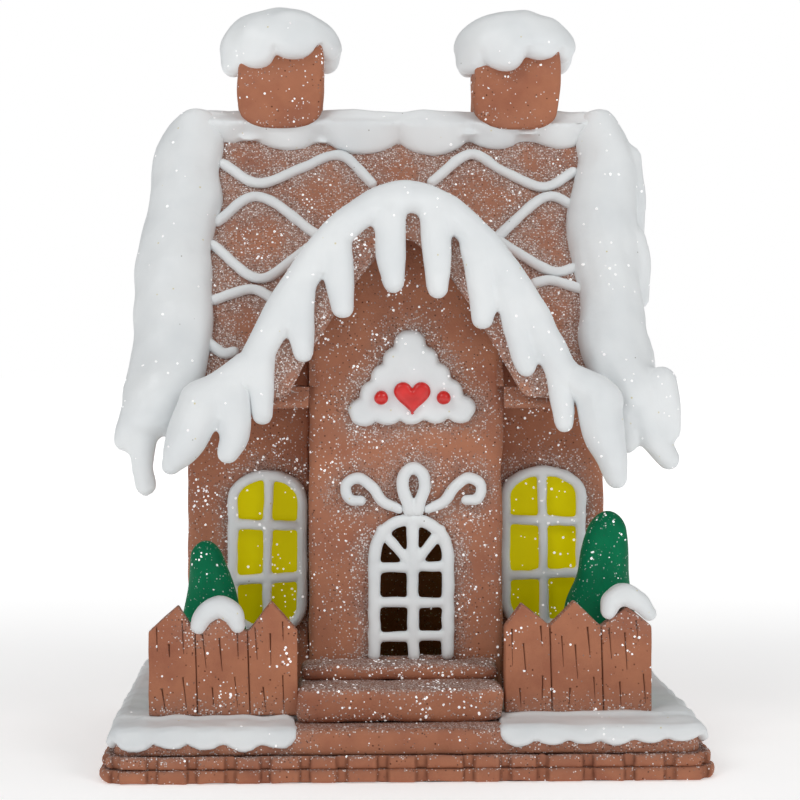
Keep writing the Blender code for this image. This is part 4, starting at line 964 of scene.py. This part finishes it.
# ---------------------------------------------------------------- ridge snow
# A soft roll of icing clay laid along the ridge, with its edges pressed down the slopes in broad lobes.
RIDGE_END, BAND_EDGE = 62.0, 2.4
RIDGE_NOTCHES = ((-63, 200), (-49, 199.6), (-24.7, 199.4), (0.3, 197), (22.3, 200), (42.1, 199.8), (63, 200))
RIDGE_LOWS = (194, 191.6, 190.3, 189.8, 192.1, 192.4)
form = bmesh.new()
for x in np.linspace(-RIDGE_END, RIDGE_END, 95):
    i = sum(x > notch for notch, _ in RIDGE_NOTCHES[1:-1])
    (x0, high0), (x1, high1) = RIDGE_NOTCHES[i : i + 2]
    part = (x - x0) / (x1 - x0)
    high = high0 + (high1 - high0) * part
    low = high - (high - RIDGE_LOWS[i]) * math.sqrt(max(0.0, 1 - (2 * part - 1) ** 2)) + BAND_EDGE
    crown = 0.5 * math.sin(x / 9.0)
    line = []
    for slope in (-1, 1):
        end = (x * -slope, roof_y(low, 0.9, slope), low, BAND_EDGE)
        row = [end, (x * -slope, RIDGE_Y + slope * 5.4, 198.0, 4.2), (x * -slope, RIDGE_Y, 199.9 + crown, 5.4)]
        add_rope(form, row)
data = knead(mould(form, 0.9, 3), 0.25, 11.0, 111)
show("ridge_roll", data, ICING, "white_icing", "ridge_snow")

# ---------------------------------------------------------------- gable snow
# A thick tongue of icing clay folded over each end of the roof, from the front eave over the ridge to
# the back eave. Drips are pulled from its outer edge and its lower corners.
TONGUES = {  # height, outer edge and inner edge away from the middle, on the front slope
    "left": (
        *((200, 74.5, 58.0), (194, 79.0, 57.6), (185, 81.2, 58.8), (175, 81.8, 57.6), (167, 82.8, 59.2)),
        *((156, 84.8, 60.6), (140, 85.0, 59.4), (124, 84.8, 60.0), (114, 86.6, 63.5), (106, 87.0, 68.0)),
    ),
    "right": (
        *((200, 73.5, 58.0), (194, 77.0, 58.4), (187, 78.2, 59.4), (176, 78.2, 55.4), (166, 77.6, 53.4)),
        *((155, 76.5, 54.4), (144, 77.0, 56.4), (132, 77.4, 55.0), (121, 78.9, 57.0), (112, 80.4, 64.0)),
    ),
}
CORNER_DRIPS = {  # front corner: x and z of root, middle and tip, and radii there
    "left": (
        ((82.6, 108, 4.6), (84.8, 102.5, 4.4), (85.9, 98.9, 3.7)),
        ((79.5, 112, 5.4), (80.2, 98, 4.3), (80.6, 90, 3.7), (79.6, 84.9, 3.5)),
        ((70.0, 112, 5.0), (69.6, 103, 4.0), (68.6, 98, 3.2)),
    ),
    "right": (
        ((79.6, 116, 5.2), (82.4, 107, 3.9), (83.3, 101.4, 3.0)),
        ((73.4, 112, 6.0), (76.8, 101, 4.9), (80.2, 95.0, 4.0), (82.3, 92.6, 3.7)),
        ((67.5, 108, 5.0), (68.6, 101, 4.0), (68.9, 97.6, 3.2)),
    ),
}
SIDE_DRIPS = {  # height of the root and of the tip, and how far out the tip lies
    "left": ((186, 166, 76.5), (168, 150, 79.0), (150, 130, 80.5)),
    "right": ((190, 159, 78.2), (162, 139, 77.6), (142, 126, 74.0), (128, 113, 76.0)),
}
EAVE_FRONT, EAVE_BACK = -32.6, 66.0


def tongue_y(z, lift, slope):
    """Y on the roof at a height, held back to hang straight down beyond an eave."""
    return min(max(roof_y(z, lift, slope), EAVE_FRONT), EAVE_BACK)


for side, sign in (("left", -1), ("right", 1)):
    form = bmesh.new()
    rows = TONGUES[side]
    for slope in (-1, 1):
        stations = [row for row in rows if slope < 0 or row[0] > 122]
        for share in np.linspace(0, 1, 6):
            radius = 6.4 + 0.8 * share
            lift = 0.6 + 1.4 * math.sin(math.pi * share) - 2.6 * share**2
            line = []
            for z, outer, inner in stations:
                x = inner + radius + share * (outer - inner - 2 * radius)
                crest = max(0.0, z - 192) * 0.12
                line.append((sign * x, tongue_y(z - crest, lift, slope), z - crest, radius))
            add_rope(form, smooth_path(line, 4))
        for root, tip, out in SIDE_DRIPS[side]:
            if slope > 0 and root < 140:
                continue
            y = tongue_y(root, -2.5, slope)
            drip = [(sign * (out - 2.0), y, root, 4.6), (sign * (out - 0.4), y + slope * 1.5, (root + tip) / 2 + 3, 4.0)]
            drip.append((sign * out, y + slope * 3.0, tip + 3, 3.0))
            add_rope(form, smooth_path(drip, 6))
    for drip in CORNER_DRIPS[side]:
        add_rope(form, smooth_path([(sign * x, EAVE_FRONT, z, radius) for x, z, radius in drip], 6))
    for x, tip in ((62, 108), (70, 113), (78, 104)):
        line = [(sign * x, EAVE_BACK - 2, 128, 5.0), (sign * x, EAVE_BACK, (128 + tip) / 2, 4.0)]
        add_rope(form, smooth_path([*line, (sign * (x + 0.6), EAVE_BACK, tip + 3.2, 3.2)], 6))
    data = knead(mould(form, 1.2, 5), 0.3, 14.0, 121 + sign)
    show(f"gable_snow_{side}", data, ICING, "white_icing", f"roof_snow_{side}")

# ---------------------------------------------------------------- porch snow
# A fat rope of icing clay over the curved edge of the porch roof. Long drips were rolled, stuck on and
# smoothed into it one by one, and its two ends flare out over the corners.
ARCH_Y = -42.2
ARCH_DRIPS = {  # x, z and radius of root, middle and tip
    "left": (
        ((-62.5, 108.5, 7.2), (-66.3, 100, 6.5), (-69.4, 94, 4.8), (-70.9, 91.5, 3.4)),
        ((-52.4, 112, 5.6), (-51.9, 101, 4.8), (-53.9, 95.4, 3.6)),
    ),
    "middle": (
        ((-43.6, 128, 4.6), (-44.0, 114, 4.0), (-43.5, 106.8, 3.3)),
        ((-32.4, 144.5, 4.7), (-31.8, 133, 4.2), (-31.0, 125.6, 3.3)),
        ((-21.6, 160, 5.0), (-19.9, 146, 4.4), (-19.2, 139.4, 3.5)),
        ((-5.0, 168, 5.0), (-4.5, 155, 4.6), (-3.8, 147.3, 3.6)),
        ((8.6, 167, 4.8), (9.6, 152, 4.2), (9.7, 145.1, 3.4)),
        ((21.0, 158, 4.8), (23.4, 142, 4.2), (23.4, 136.0, 3.5)),
        ((31.4, 144, 4.6), (35.0, 127, 3.8), (36.6, 121.2, 3.2)),
        ((45.2, 122, 3.6), (47.8, 110, 3.5), (48.0, 104.2, 3.1)),
    ),
    "right": (((58.0, 112, 6.6), (60.4, 101, 6.6), (63.0, 92.5, 4.9), (64.2, 87.6, 3.7)),),
}
arch_snow = bmesh.new()
for part, drips in ARCH_DRIPS.items():
    form = bmesh.new()
    if part == "middle":
        for y, inset, radius in ((ARCH_Y, 5.0, 5.0), (ARCH_Y + 4.5, 4.8, 4.8), (ARCH_Y + 8.5, 4.8, 4.4)):
            add_rope(form, [(x, y, z, radius) for x, z in bell_line(inset, 44, 57)])
    for drip in drips:
        y = ARCH_Y - (0.6 if part == "middle" else 1.2)
        add_rope(form, smooth_path([(x, y, z, radius) for x, z, radius in drip], 6))
    if part == "left":
        add_rope(form, smooth_path([(-48.0, ARCH_Y - 0.4, 122, 4.6), (-56, ARCH_Y - 0.6, 114.6, 5.6), (-62.5, ARCH_Y - 0.6, 111, 6.6)]))
    if part == "right":
        add_rope(form, smooth_path([(50.5, ARCH_Y - 0.4, 118, 4.8), (56.4, ARCH_Y - 0.8, 114, 6.0), (60, ARCH_Y - 0.6, 111, 6.6)]))
    arch_snow.from_mesh(mould(form, 0.9, 6))
data = bpy.data.meshes.new("arch_snow")
arch_snow.to_mesh(data)
arch_snow.free()
show("porch_snow_arch", knead(data, 0.2, 12.0, 131), ICING, "white_icing", "porch_snow")

# ---------------------------------------------------------------- back eave snow
# A plain roll of icing clay along the back eave with a row of short drips.
eave_y, eave_z = RIDGE_Y + RUN_BACK, RIDGE_Z - RUN_BACK * ROOF_RISE
form = bmesh.new()
add_rope(form, [(x, eave_y, eave_z + 1.5 + 0.5 * math.sin(x / 7), 5.4) for x in np.linspace(-60, 60, 25)])
for i in range(9):
    x = -49 + 98 * i / 8
    length = 15 + 7 * math.sin(2.3 * i + 1)
    line = [(x, eave_y + 0.6, eave_z, 4.4), (x + 0.5, eave_y + 1.4, eave_z - length / 2, 3.8)]
    add_rope(form, smooth_path([*line, (x + 1.0, eave_y + 1.6, eave_z - length + 3, 3.0)], 6))
data = knead(mould(form, 1.25, 5), 0.25, 11.0, 141)
show("back_eave_roll", data, ICING, "white_icing", "back_eave_snow")

# ---------------------------------------------------------------- picket fences
# Each is one slab of brown clay cut to three points, with the gaps between the pickets and short lines
# of wood grain scored in its face with a needle.
FENCE_DEPTH, FENCE_FOOT = 5.0, 16.6
FENCES = {  # left, right, front, tips, shoulder, grooves, then grain lines as x, z to x, z
    "left": (
        *(-77.6, -33.0, -51.0, ((-68.7, 50.0), (-56.0, 46.5), (-40.8, 50.9)), 42.0, (-63.7, -48.0)),
        (
            *((-75.1, 43.7, -74.9, 36.2), (-71.4, 38.4, -71.2, 34.5), (-67.5, 45.4, -67.0, 35.4)),
            *((-73.6, 25.1, -72.5, 18.4), (-67.3, 28.4, -66.2, 19.2), (-61.4, 41.5, -60.3, 31.0)),
            *((-56.4, 40.2, -55.5, 30.1), (-51.1, 43.7, -50.7, 34.5), (-58.5, 25.3, -58.1, 20.1)),
            *((-51.8, 28.4, -50.9, 19.2), (-45.7, 43.4, -45.0, 33.6), (-41.1, 41.5, -40.9, 31.9)),
            *((-37.4, 45.0, -37.2, 39.3), (-43.3, 25.3, -42.4, 18.4), (-37.4, 28.8, -37.0, 18.0)),
        ),
    ),
    "right": (
        *(29.6, 74.4, -49.0, ((34.8, 50.0), (50.8, 50.6), (66.8, 48.8)), 42.8, (43.3, 58.9)),
        (
            *((31.8, 42.2, 32.0, 31.0), (35.3, 37.8, 36.0, 29.2), (40.5, 43.1, 41.0, 36.8)),
            *((34.2, 24.2, 34.6, 18.4), (41.2, 27.9, 41.0, 20.6), (46.9, 40.0, 47.5, 30.5)),
            *((51.0, 37.3, 51.8, 26.9), (54.7, 42.7, 55.6, 33.2), (49.5, 24.2, 49.3, 19.3)),
            *((56.7, 27.4, 57.1, 20.6), (61.3, 42.4, 62.1, 32.8), (66.1, 40.9, 66.8, 29.6)),
            *((69.5, 44.6, 70.2, 38.2), (64.6, 26.0, 65.0, 18.9), (71.8, 28.3, 72.5, 19.3)),
        ),
    ),
}
GRAIN_WIDTH, GRAIN_DEPTH, GROOVE_WIDTH, GROOVE_DEPTH = 0.6, 0.8, 0.62, 1.2


def add_scores(form, front, lines, width, depth, thin):
    """Adds wedges to a form that stand for a needle's lines, from full width down to the thin share."""
    for x0, z0, x1, z1 in lines:
        ahead = Vector((x1 - x0, z1 - z0))
        count = math.ceil(ahead.length / 0.9)
        side = Vector((ahead.y, -ahead.x)).normalized()
        rings = []
        for i in range(count + 1):
            t = i / count
            share = 1 - (1 - thin) * t
            reach = width / 2 * share * (1 + 0.7 / (depth * share))
            x, z = x0 + ahead.x * t, z0 + ahead.y * t
            corners = ((x, front + depth * share, z), (x + side.x * reach, front - 0.7, z + side.y * reach),
                       (x - side.x * reach, front - 0.7, z - side.y * reach))
            rings.append([form.verts.new(Vector(p) * MM) for p in corners])
        for ring, after in zip(rings, rings[1:]):
            for k in range(3):
                form.faces.new((ring[k], ring[(k + 1) % 3], after[(k + 1) % 3], after[k]))
        form.faces.new(rings[0])
        form.faces.new(rings[-1])
    bmesh.ops.recalc_face_normals(form, faces=form.faces)


def carve(data, form):
    """Cuts a form's shapes out of a mesh and returns the mesh that is left."""
    cutter = bpy.data.meshes.new("cutter")
    form.to_mesh(cutter)
    form.free()
    knife = bpy.data.objects.new("knife", cutter)
    block = bpy.data.objects.new("block", data)
    for made in (knife, block):
        bpy.context.scene.collection.objects.link(made)
    cut = block.modifiers.new("cut", "BOOLEAN")
    cut.operation, cut.solver, cut.object = "DIFFERENCE", "MANIFOLD", knife
    left = bpy.data.meshes.new_from_object(block.evaluated_get(bpy.context.evaluated_depsgraph_get()))
    for made in (knife, block):
        bpy.data.objects.remove(made, do_unlink=True)
    return left


for side, (left, right, front, tips, shoulder, grooves, grain) in FENCES.items():
    edges = [left, *grooves, right]
    outline = [(left, FENCE_FOOT), (left, shoulder)]
    for i, (x, z) in enumerate(tips):
        outline += [(x, z), (edges[i + 1], shoulder)]
    outline.append((right, FENCE_FOOT))
    form = bmesh.new()
    add_sheet(form, [outline], "front", front, front + FENCE_DEPTH)
    data = knead(mould(form, 0.5, 3), 0.12, 12.0, 151)
    scores = bmesh.new()
    add_scores(scores, front, [(x, shoulder + 1.5, x + 0.8, FENCE_FOOT + 0.6) for x in grooves], GROOVE_WIDTH, GROOVE_DEPTH, 0.9)
    add_scores(scores, front, grain, GRAIN_WIDTH, GRAIN_DEPTH, 0.4)
    data = carve(data, scores)
    # painted shade: the inside of the needle grooves is darkened, away from the fence's ends and below its points
    points = read_points(data)
    inside = (points[:, 1] - front > 0.22) & (points[:, 1] - front < GROOVE_DEPTH + 0.2)
    for x, z in ((left, 0), (right, 0)):
        inside &= np.abs(points[:, 0] - x) > 0.9
    peak = np.interp(points[:, 0], *zip(*sorted([(left, shoulder), (right, shoulder), *tips, *((x, shoulder) for x in grooves)])))
    set_share(data, "scored", inside & (points[:, 2] < peak - 1.0) & (points[:, 2] > FENCE_FOOT + 0.5))
    show(f"picket_fence_{side}", data, GINGER, "ginger_clay", f"fence_{side}")

# ---------------------------------------------------------------- snow on the fences
# A fat crescent of icing clay is bent over one picket of each fence.
CRESCENTS = {  # from arm to arm: x, z and radius
    "left": ((-62.7, 43.6, 2.5), (-60.8, 46.9, 3.2), (-56.6, 49.3, 3.3), (-52.4, 47.2, 3.2), (-50.9, 43.8, 2.4)),
    "right": ((61.4, 47.4, 2.6), (62.7, 50.6, 3.2), (66.2, 52.2, 3.4), (70.0, 50.3, 3.2), (73.5, 46.7, 2.4)),
}
for side, arms in CRESCENTS.items():
    y = FENCES[side][2] + FENCE_DEPTH / 2 - 0.6
    form = bmesh.new()
    for dy in (-1.2, 1.2):
        add_rope(form, smooth_path([(x, y + dy, z, radius) for x, z, radius in arms], 6))
    data = knead(mould(form, 0.42, 5), 0.12, 6.0, 161)
    show(f"fence_crescent_{side}", data, ICING, "white_icing", f"fence_snow_{side}")

# ---------------------------------------------------------------- trees
# Two cones of green clay, rolled between the palms and stood on the snow, with white grains stuck on
# while they were wet.


def green_dough_clay():
    """Green polymer clay, rolled smooth: an even, dull, deep colour with white grains pressed in."""
    made, tree, shader = new_material("green_dough_clay", IOR=1.5, Specular_IOR_Level=0.12)
    place = add_node(tree, "TexCoord").outputs["Object"]
    dust = add_node(tree, "Attribute", {"attribute_name": "dust"}).outputs["Fac"]
    patch = {"Vector": place, "Scale": 1000 / 9, "Detail": 3.0}
    patches = add_node(tree, "TexNoise", {}, patch).outputs["Fac"]
    tones = ((0.3, "006644"), (0.7, "007A50"))
    colour = add_node(tree, "ValToRGB", {"stops": tones}, {"Fac": patches}).outputs["Color"]
    grains, own = sprinkled(tree, place, 0.5, dust)
    glints = ((0.2, "1D6A4C"), (0.5, "6F9F8B"), (0.9, "D5E4DD"))
    glint = add_node(tree, "ValToRGB", {"stops": glints}, {"Fac": own}).outputs["Color"]
    colour = over(tree, colour, glint, grains)
    tree.links.new(colour, shader.inputs["Base Color"])
    dull = {"Value": patches, "To Min": 0.45, "To Max": 0.65}
    tree.links.new(add_node(tree, "MapRange", {}, dull).outputs["Result"], shader.inputs["Roughness"])
    relief = add_node(tree, "Math", {"operation": "ADD"}, {0: patches, 1: grains}).outputs[0]
    bump = add_node(tree, "Bump", {}, {"Strength": 0.4, "Distance": 0.3 * MM, "Height": relief})
    tree.links.new(bump.outputs["Normal"], shader.inputs["Normal"])
    return made


GREEN = green_dough_clay()
TREE_SPREAD, TREE_LEAN = 11.0, 0.09  # growth of the radius to the foot, and sideways shift for each mm down
green_pieces = []
for side, x, y, apex, tip, lean in (("left", -61.4, -26.5, 67.3, 4.0, TREE_LEAN), ("right", 64.1, -26.5, 75.9, 5.0, -TREE_LEAN)):
    form = bmesh.new()
    rings = []
    rows = 60
    for j in range(rows + 1):
        t = (j / rows) ** 1.6
        z = apex - (apex - FENCE_FOOT) * t
        dome = 1 - min(1.0, t / 0.1)
        foot = 1 - 0.1 * max(0.0, 1 - (z - FENCE_FOOT) / 3.0) ** 2
        radius = max(0.05, (tip * math.sqrt(1 - dome**2) + TREE_SPREAD * t) * foot)
        turns = np.linspace(0, 2 * math.pi, 64, endpoint=False)
        ring = [(x + lean * (apex - z) + radius * math.cos(a), y + radius * math.sin(a), z) for a in turns]
        rings.append([form.verts.new(Vector(p) * MM) for p in ring])
    for ring, after in zip(rings, rings[1:]):
        for k in range(64):
            form.faces.new((ring[k], ring[(k + 1) % 64], after[(k + 1) % 64], after[k]))
    form.faces.new(reversed(rings[0]))
    form.faces.new(rings[-1])
    bmesh.ops.recalc_face_normals(form, faces=form.faces)
    data = bpy.data.meshes.new("tree")
    form.to_mesh(data)
    form.free()
    made = show(f"clay_tree_{side}", knead(data, 0.35, 13.0, 171), GREEN, "green_clay", f"tree_{side}")
    green_pieces.append(made)

# ---------------------------------------------------------------- dust
# White grains and glitter were sprinkled on the wet clay and lie thickest beside the snow, on ledges
# and in corners. This works out how thick, for the clays to show.
white_names = ("gable_snow", "porch_snow", "ridge_roll", "chimney_cap", "yard_snow", "swag_", "window_ropes")
white_names += ("plaque_pillow", "door_", "fence_crescent", "back_eave")
white_points, white_faces = [], []
for made in list(bpy.data.objects):
    if made.name.startswith(white_names):
        start = len(white_points)
        white_points += [vertex.co.copy() for vertex in made.data.vertices]
        white_faces += [[start + k for k in face.vertices] for face in made.data.polygons]
snow_tree = BVHTree.FromPolygons(white_points, white_faces)
REACH = 7.5


def dust_on(made, base, near_snow, ledges):
    """Works out a piece's dust: some everywhere, more near snow and more on ledges, in patches."""
    data = made.data
    points, normals = read_points(data), read_points(data, "normal")
    near = np.ones(len(points))
    for i, point in enumerate(points):
        found = snow_tree.find_nearest(Vector(point) * MM, REACH * MM)
        if found[0] is not None:
            near[i] = found[3] / MM / REACH
    draw = np.random.default_rng(len(made.name))
    cloud = np.zeros(len(points))
    for _ in range(8):
        way = draw.normal(size=3) * draw.uniform(0.25, 0.7)
        cloud += np.sin(points @ way + draw.uniform(0, 2 * math.pi)) / 8
    thick = base + near_snow * (1 - near) ** 1.3 + ledges * np.clip(normals[:, 2], 0, 1) ** 2
    set_share(data, "dust", thick * (1 + 0.9 * cloud))


for made in brown_pieces:
    if made.name.startswith("picket"):
        dust_on(made, 0.02, 0.35, 0.5)
    elif made.name.startswith("chimney"):
        dust_on(made, 0.02, 0.12, 0.2)
    elif made.name.startswith(("brick", "base")):
        dust_on(made, 0.06, 0.45, 0.45)
    elif made.name.startswith(("roof", "porch_barge", "porch_roof")):
        dust_on(made, 0.3, 0.9, 0.2)
    elif made.name.startswith("step"):
        dust_on(made, 0.1, 0.7, 1.3)
    else:
        dust_on(made, 0.14, 0.75, 0.6)
for made in green_pieces:
    dust_on(made, 0.1, 0.8, 0.1)

# ---------------------------------------------------------------- glitter
# Six-sided flakes of silver craft glitter, sprinkled over everything while the clay was tacky. They are
# half sunk in the surface at all angles.


def craft_glitter():
    """Metallised polyester flakes, near white, with a painted glint: they emit a little light of their own, which
    stands for their flash where they catch the lamp.
    """
    made, tree, shader = new_material("craft_glitter", Metallic=0.0, IOR=1.6, Emission_Strength=0.35)
    place = add_node(tree, "TexCoord").outputs["Object"]
    patches = add_node(tree, "TexNoise", {}, {"Vector": place, "Scale": 1000 / 3, "Detail": 1.0}).outputs["Fac"]
    tones = ((0.35, "E9E6E8"), (0.6, "FFFFFF"))
    colour = add_node(tree, "ValToRGB", {"stops": tones}, {"Fac": patches}).outputs["Color"]
    tree.links.new(colour, shader.inputs["Base Color"])
    # painted glint: the flakes emit light in their own near-white colour
    tree.links.new(colour, shader.inputs["Emission Color"])
    soft = {"Value": patches, "To Min": 0.15, "To Max": 0.4}
    tree.links.new(add_node(tree, "MapRange", {}, soft).outputs["Result"], shader.inputs["Roughness"])
    return made


GLITTER = craft_glitter()
FLAKE, FLAKE_DEPTH = 0.42, 0.18


def sprinkle(made, count, seed, weight):
    """Draws places and directions on a piece's faces, by area and weight."""
    data = made.data
    data.calc_loop_triangles()
    corners = np.zeros(len(data.loop_triangles) * 3, np.int32)
    data.loop_triangles.foreach_get("vertices", corners)
    points = read_points(data)[corners.reshape(-1, 3)]
    across = np.cross(points[:, 1] - points[:, 0], points[:, 2] - points[:, 0])
    size = np.linalg.norm(across, axis=1)
    normals = across / np.maximum(size, 1e-9)[:, None]
    share = size * weight(points.mean(1), normals)
    draw = np.random.default_rng(seed)
    count = min(count, int(share.sum() > 0) * count)
    picks = draw.choice(len(share), count, p=share / share.sum())
    a, b = draw.uniform(size=(2, count))
    flip = a + b > 1
    a, b = np.where(flip, 1 - a, a), np.where(flip, 1 - b, b)
    tri = points[picks]
    spots_ = tri[:, 0] + a[:, None] * (tri[:, 1] - tri[:, 0]) + b[:, None] * (tri[:, 2] - tri[:, 0])
    return spots_, normals[picks], draw


def front_weight(points, normals):
    """Glitter lies on what faces out and up, thickest in front."""
    facing = np.clip(-normals[:, 1], 0, 1) + 0.45 * np.clip(normals[:, 2], 0, 1) + 0.3 * np.abs(normals[:, 0])
    facing += 0.22 * np.clip(normals[:, 1], 0, 1)
    draw = np.random.default_rng(199)
    cloud = np.zeros(len(points))
    for _ in range(7):
        way = draw.normal(size=3) * draw.uniform(0.12, 0.4)
        cloud += np.sin(points @ way + draw.uniform(0, 2 * math.pi)) / 3
    return facing * (0.12 + np.clip(cloud, 0, 2) ** 2)


GLITTER_COUNTS = {
    "front_wall_left": 330, "front_wall_right": 260, "porch_front_wall": 420, "roof_slab_front": 420,
    "roof_slab_back": 260, "back_wall": 240, "side_wall_left": 160, "side_wall_right": 160,
    "chimney_block_left": 70, "chimney_block_right": 60, "step_lower_clay": 150, "step_upper_clay": 150,
    "porch_barge_board": 220, "picket_fence_left": 55, "picket_fence_right": 40, "clay_tree_left": 80,
    "clay_tree_right": 100, "gable_snow_left": 80, "gable_snow_right": 110, "porch_snow_arch": 110,
    "yard_snow_left": 60, "yard_snow_right": 60, "window_pane_left": 60, "window_pane_right": 90,
    "base_slab_clay": 110, "porch_side_wall_left": 30, "porch_side_wall_right": 30, "ridge_roll": 40,
    "brick_course_upper": 60, "brick_course_lower": 40, "window_ropes_left": 50, "window_ropes_right": 50,
    "plaque_pillow": 25, "chimney_cap_left": 12, "chimney_cap_right": 12,
}
places, ways = [], []
for seed, (name, count) in enumerate(GLITTER_COUNTS.items()):
    spot, way, draw = sprinkle(bpy.data.objects[name], count, 200 + seed, front_weight)
    way = way + draw.normal(0, 0.28, way.shape)
    places.append(spot)
    ways.append(way / np.linalg.norm(way, axis=1)[:, None])
places, ways = np.vstack(places), np.vstack(ways)
draw = np.random.default_rng(300)
sizes = FLAKE * (0.45 + 0.65 * draw.uniform(size=len(places)) ** 1.6)
helper = np.where(np.abs(ways[:, [2]]) < 0.9, np.array([[0, 0, 1.0]]), np.array([[1.0, 0, 0]]))
u = np.cross(ways, helper)
u /= np.linalg.norm(u, axis=1)[:, None]
v = np.cross(ways, u)
vertices, faces = [], []
for k in range(6):
    a = math.pi * k / 3
    rim = places + sizes[:, None] * (u * math.cos(a) + v * math.sin(a))
    vertices.append(rim - ways * FLAKE_DEPTH * 0.4)
    vertices.append(rim + ways * FLAKE_DEPTH * 0.6)
vertices = np.stack(vertices, 1)
for i in range(len(places)):
    low = [12 * i + 2 * k for k in range(6)]
    faces.append(low[::-1])
    faces.append([k + 1 for k in low])
    faces += [[low[k], low[(k + 1) % 6], low[(k + 1) % 6] + 1, low[k] + 1] for k in range(6)]
data = bpy.data.meshes.new("glitter")
data.from_pydata((vertices.reshape(-1, 3) * MM).tolist(), [], faces)
made = show("glitter_flakes", data, GLITTER, "white_icing")
data.shade_flat()

# ---------------------------------------------------------------- studio
# A pale table and soft daylight lamps, with the camera low in front and a little to the left.
floor_data = bpy.data.meshes.new("floor")
corners = [(-4, -3, 0), (4, -3, 0), (4, 6, 0), (-4, 6, 0)]
floor_data.from_pydata(corners, [], [(0, 1, 2, 3)])
floor = bpy.data.objects.new("studio_floor", floor_data)
bpy.context.scene.collection.objects.link(floor)
paper, tree, shader = new_material("white_paper", Roughness=0.9)
for key in ("Base Color", "Emission Color"):
    shader.inputs[key].default_value = hex_colour("F8F8F8")
place = add_node(tree, "TexCoord").outputs["Object"]
away = add_node(tree, "VectorMath", {"operation": "LENGTH"}, {0: place}).outputs["Value"]
glow = {"Value": away, "From Min": 0.15, "From Max": 1.2, "To Min": 0.35, "To Max": 1.0}
tree.links.new(add_node(tree, "MapRange", {}, glow).outputs["Result"], shader.inputs["Emission Strength"])
floor_data.materials.append(paper)
floor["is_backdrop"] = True

world = bpy.data.worlds.new("studio")
bpy.context.scene.world = world
world.use_nodes = True
tree = world.node_tree
sky = tree.nodes["Background"]
lit = add_node(tree, "LightPath").outputs["Is Camera Ray"]
sky.inputs["Color"].default_value = hex_colour("FFFFFF")
level = add_node(tree, "MapRange", {}, {"Value": lit, "To Min": 0.3, "To Max": 1.0}).outputs["Result"]
tree.links.new(level, sky.inputs["Strength"])


def soft_lamp(name, place, size, power):
    lamp = bpy.data.lights.new(name, "AREA")
    lamp.shape = "DISK"
    lamp.size, lamp.energy = size, power
    made = bpy.data.objects.new(name, lamp)
    made.location = place
    aim = Vector((0, 0, 0.11)) - Vector(place)
    made.rotation_euler = aim.to_track_quat("-Z", "Y").to_euler()
    bpy.context.scene.collection.objects.link(made)


soft_lamp("key_lamp", (-1.05, -1.4, 1.45), 0.9, 10.4)
soft_lamp("fill_lamp", (1.3, -1.35, 1.2), 0.9, 8.6)
soft_lamp("top_lamp", (0.1, 0.3, 1.6), 0.9, 3.4)

camera_data = bpy.data.cameras.new("camera")
camera_data.lens, camera_data.sensor_width = 95.3, 36.0
camera = bpy.data.objects.new("camera", camera_data)
camera.location = (-26.5 * MM, -685 * MM, 130.3 * MM)
camera.rotation_euler = (math.radians(88.3), 0.0, math.radians(-2.2))
bpy.context.scene.collection.objects.link(camera)
bpy.context.scene.camera = camera
bpy.context.scene.view_settings.view_transform = "Standard"

low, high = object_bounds()
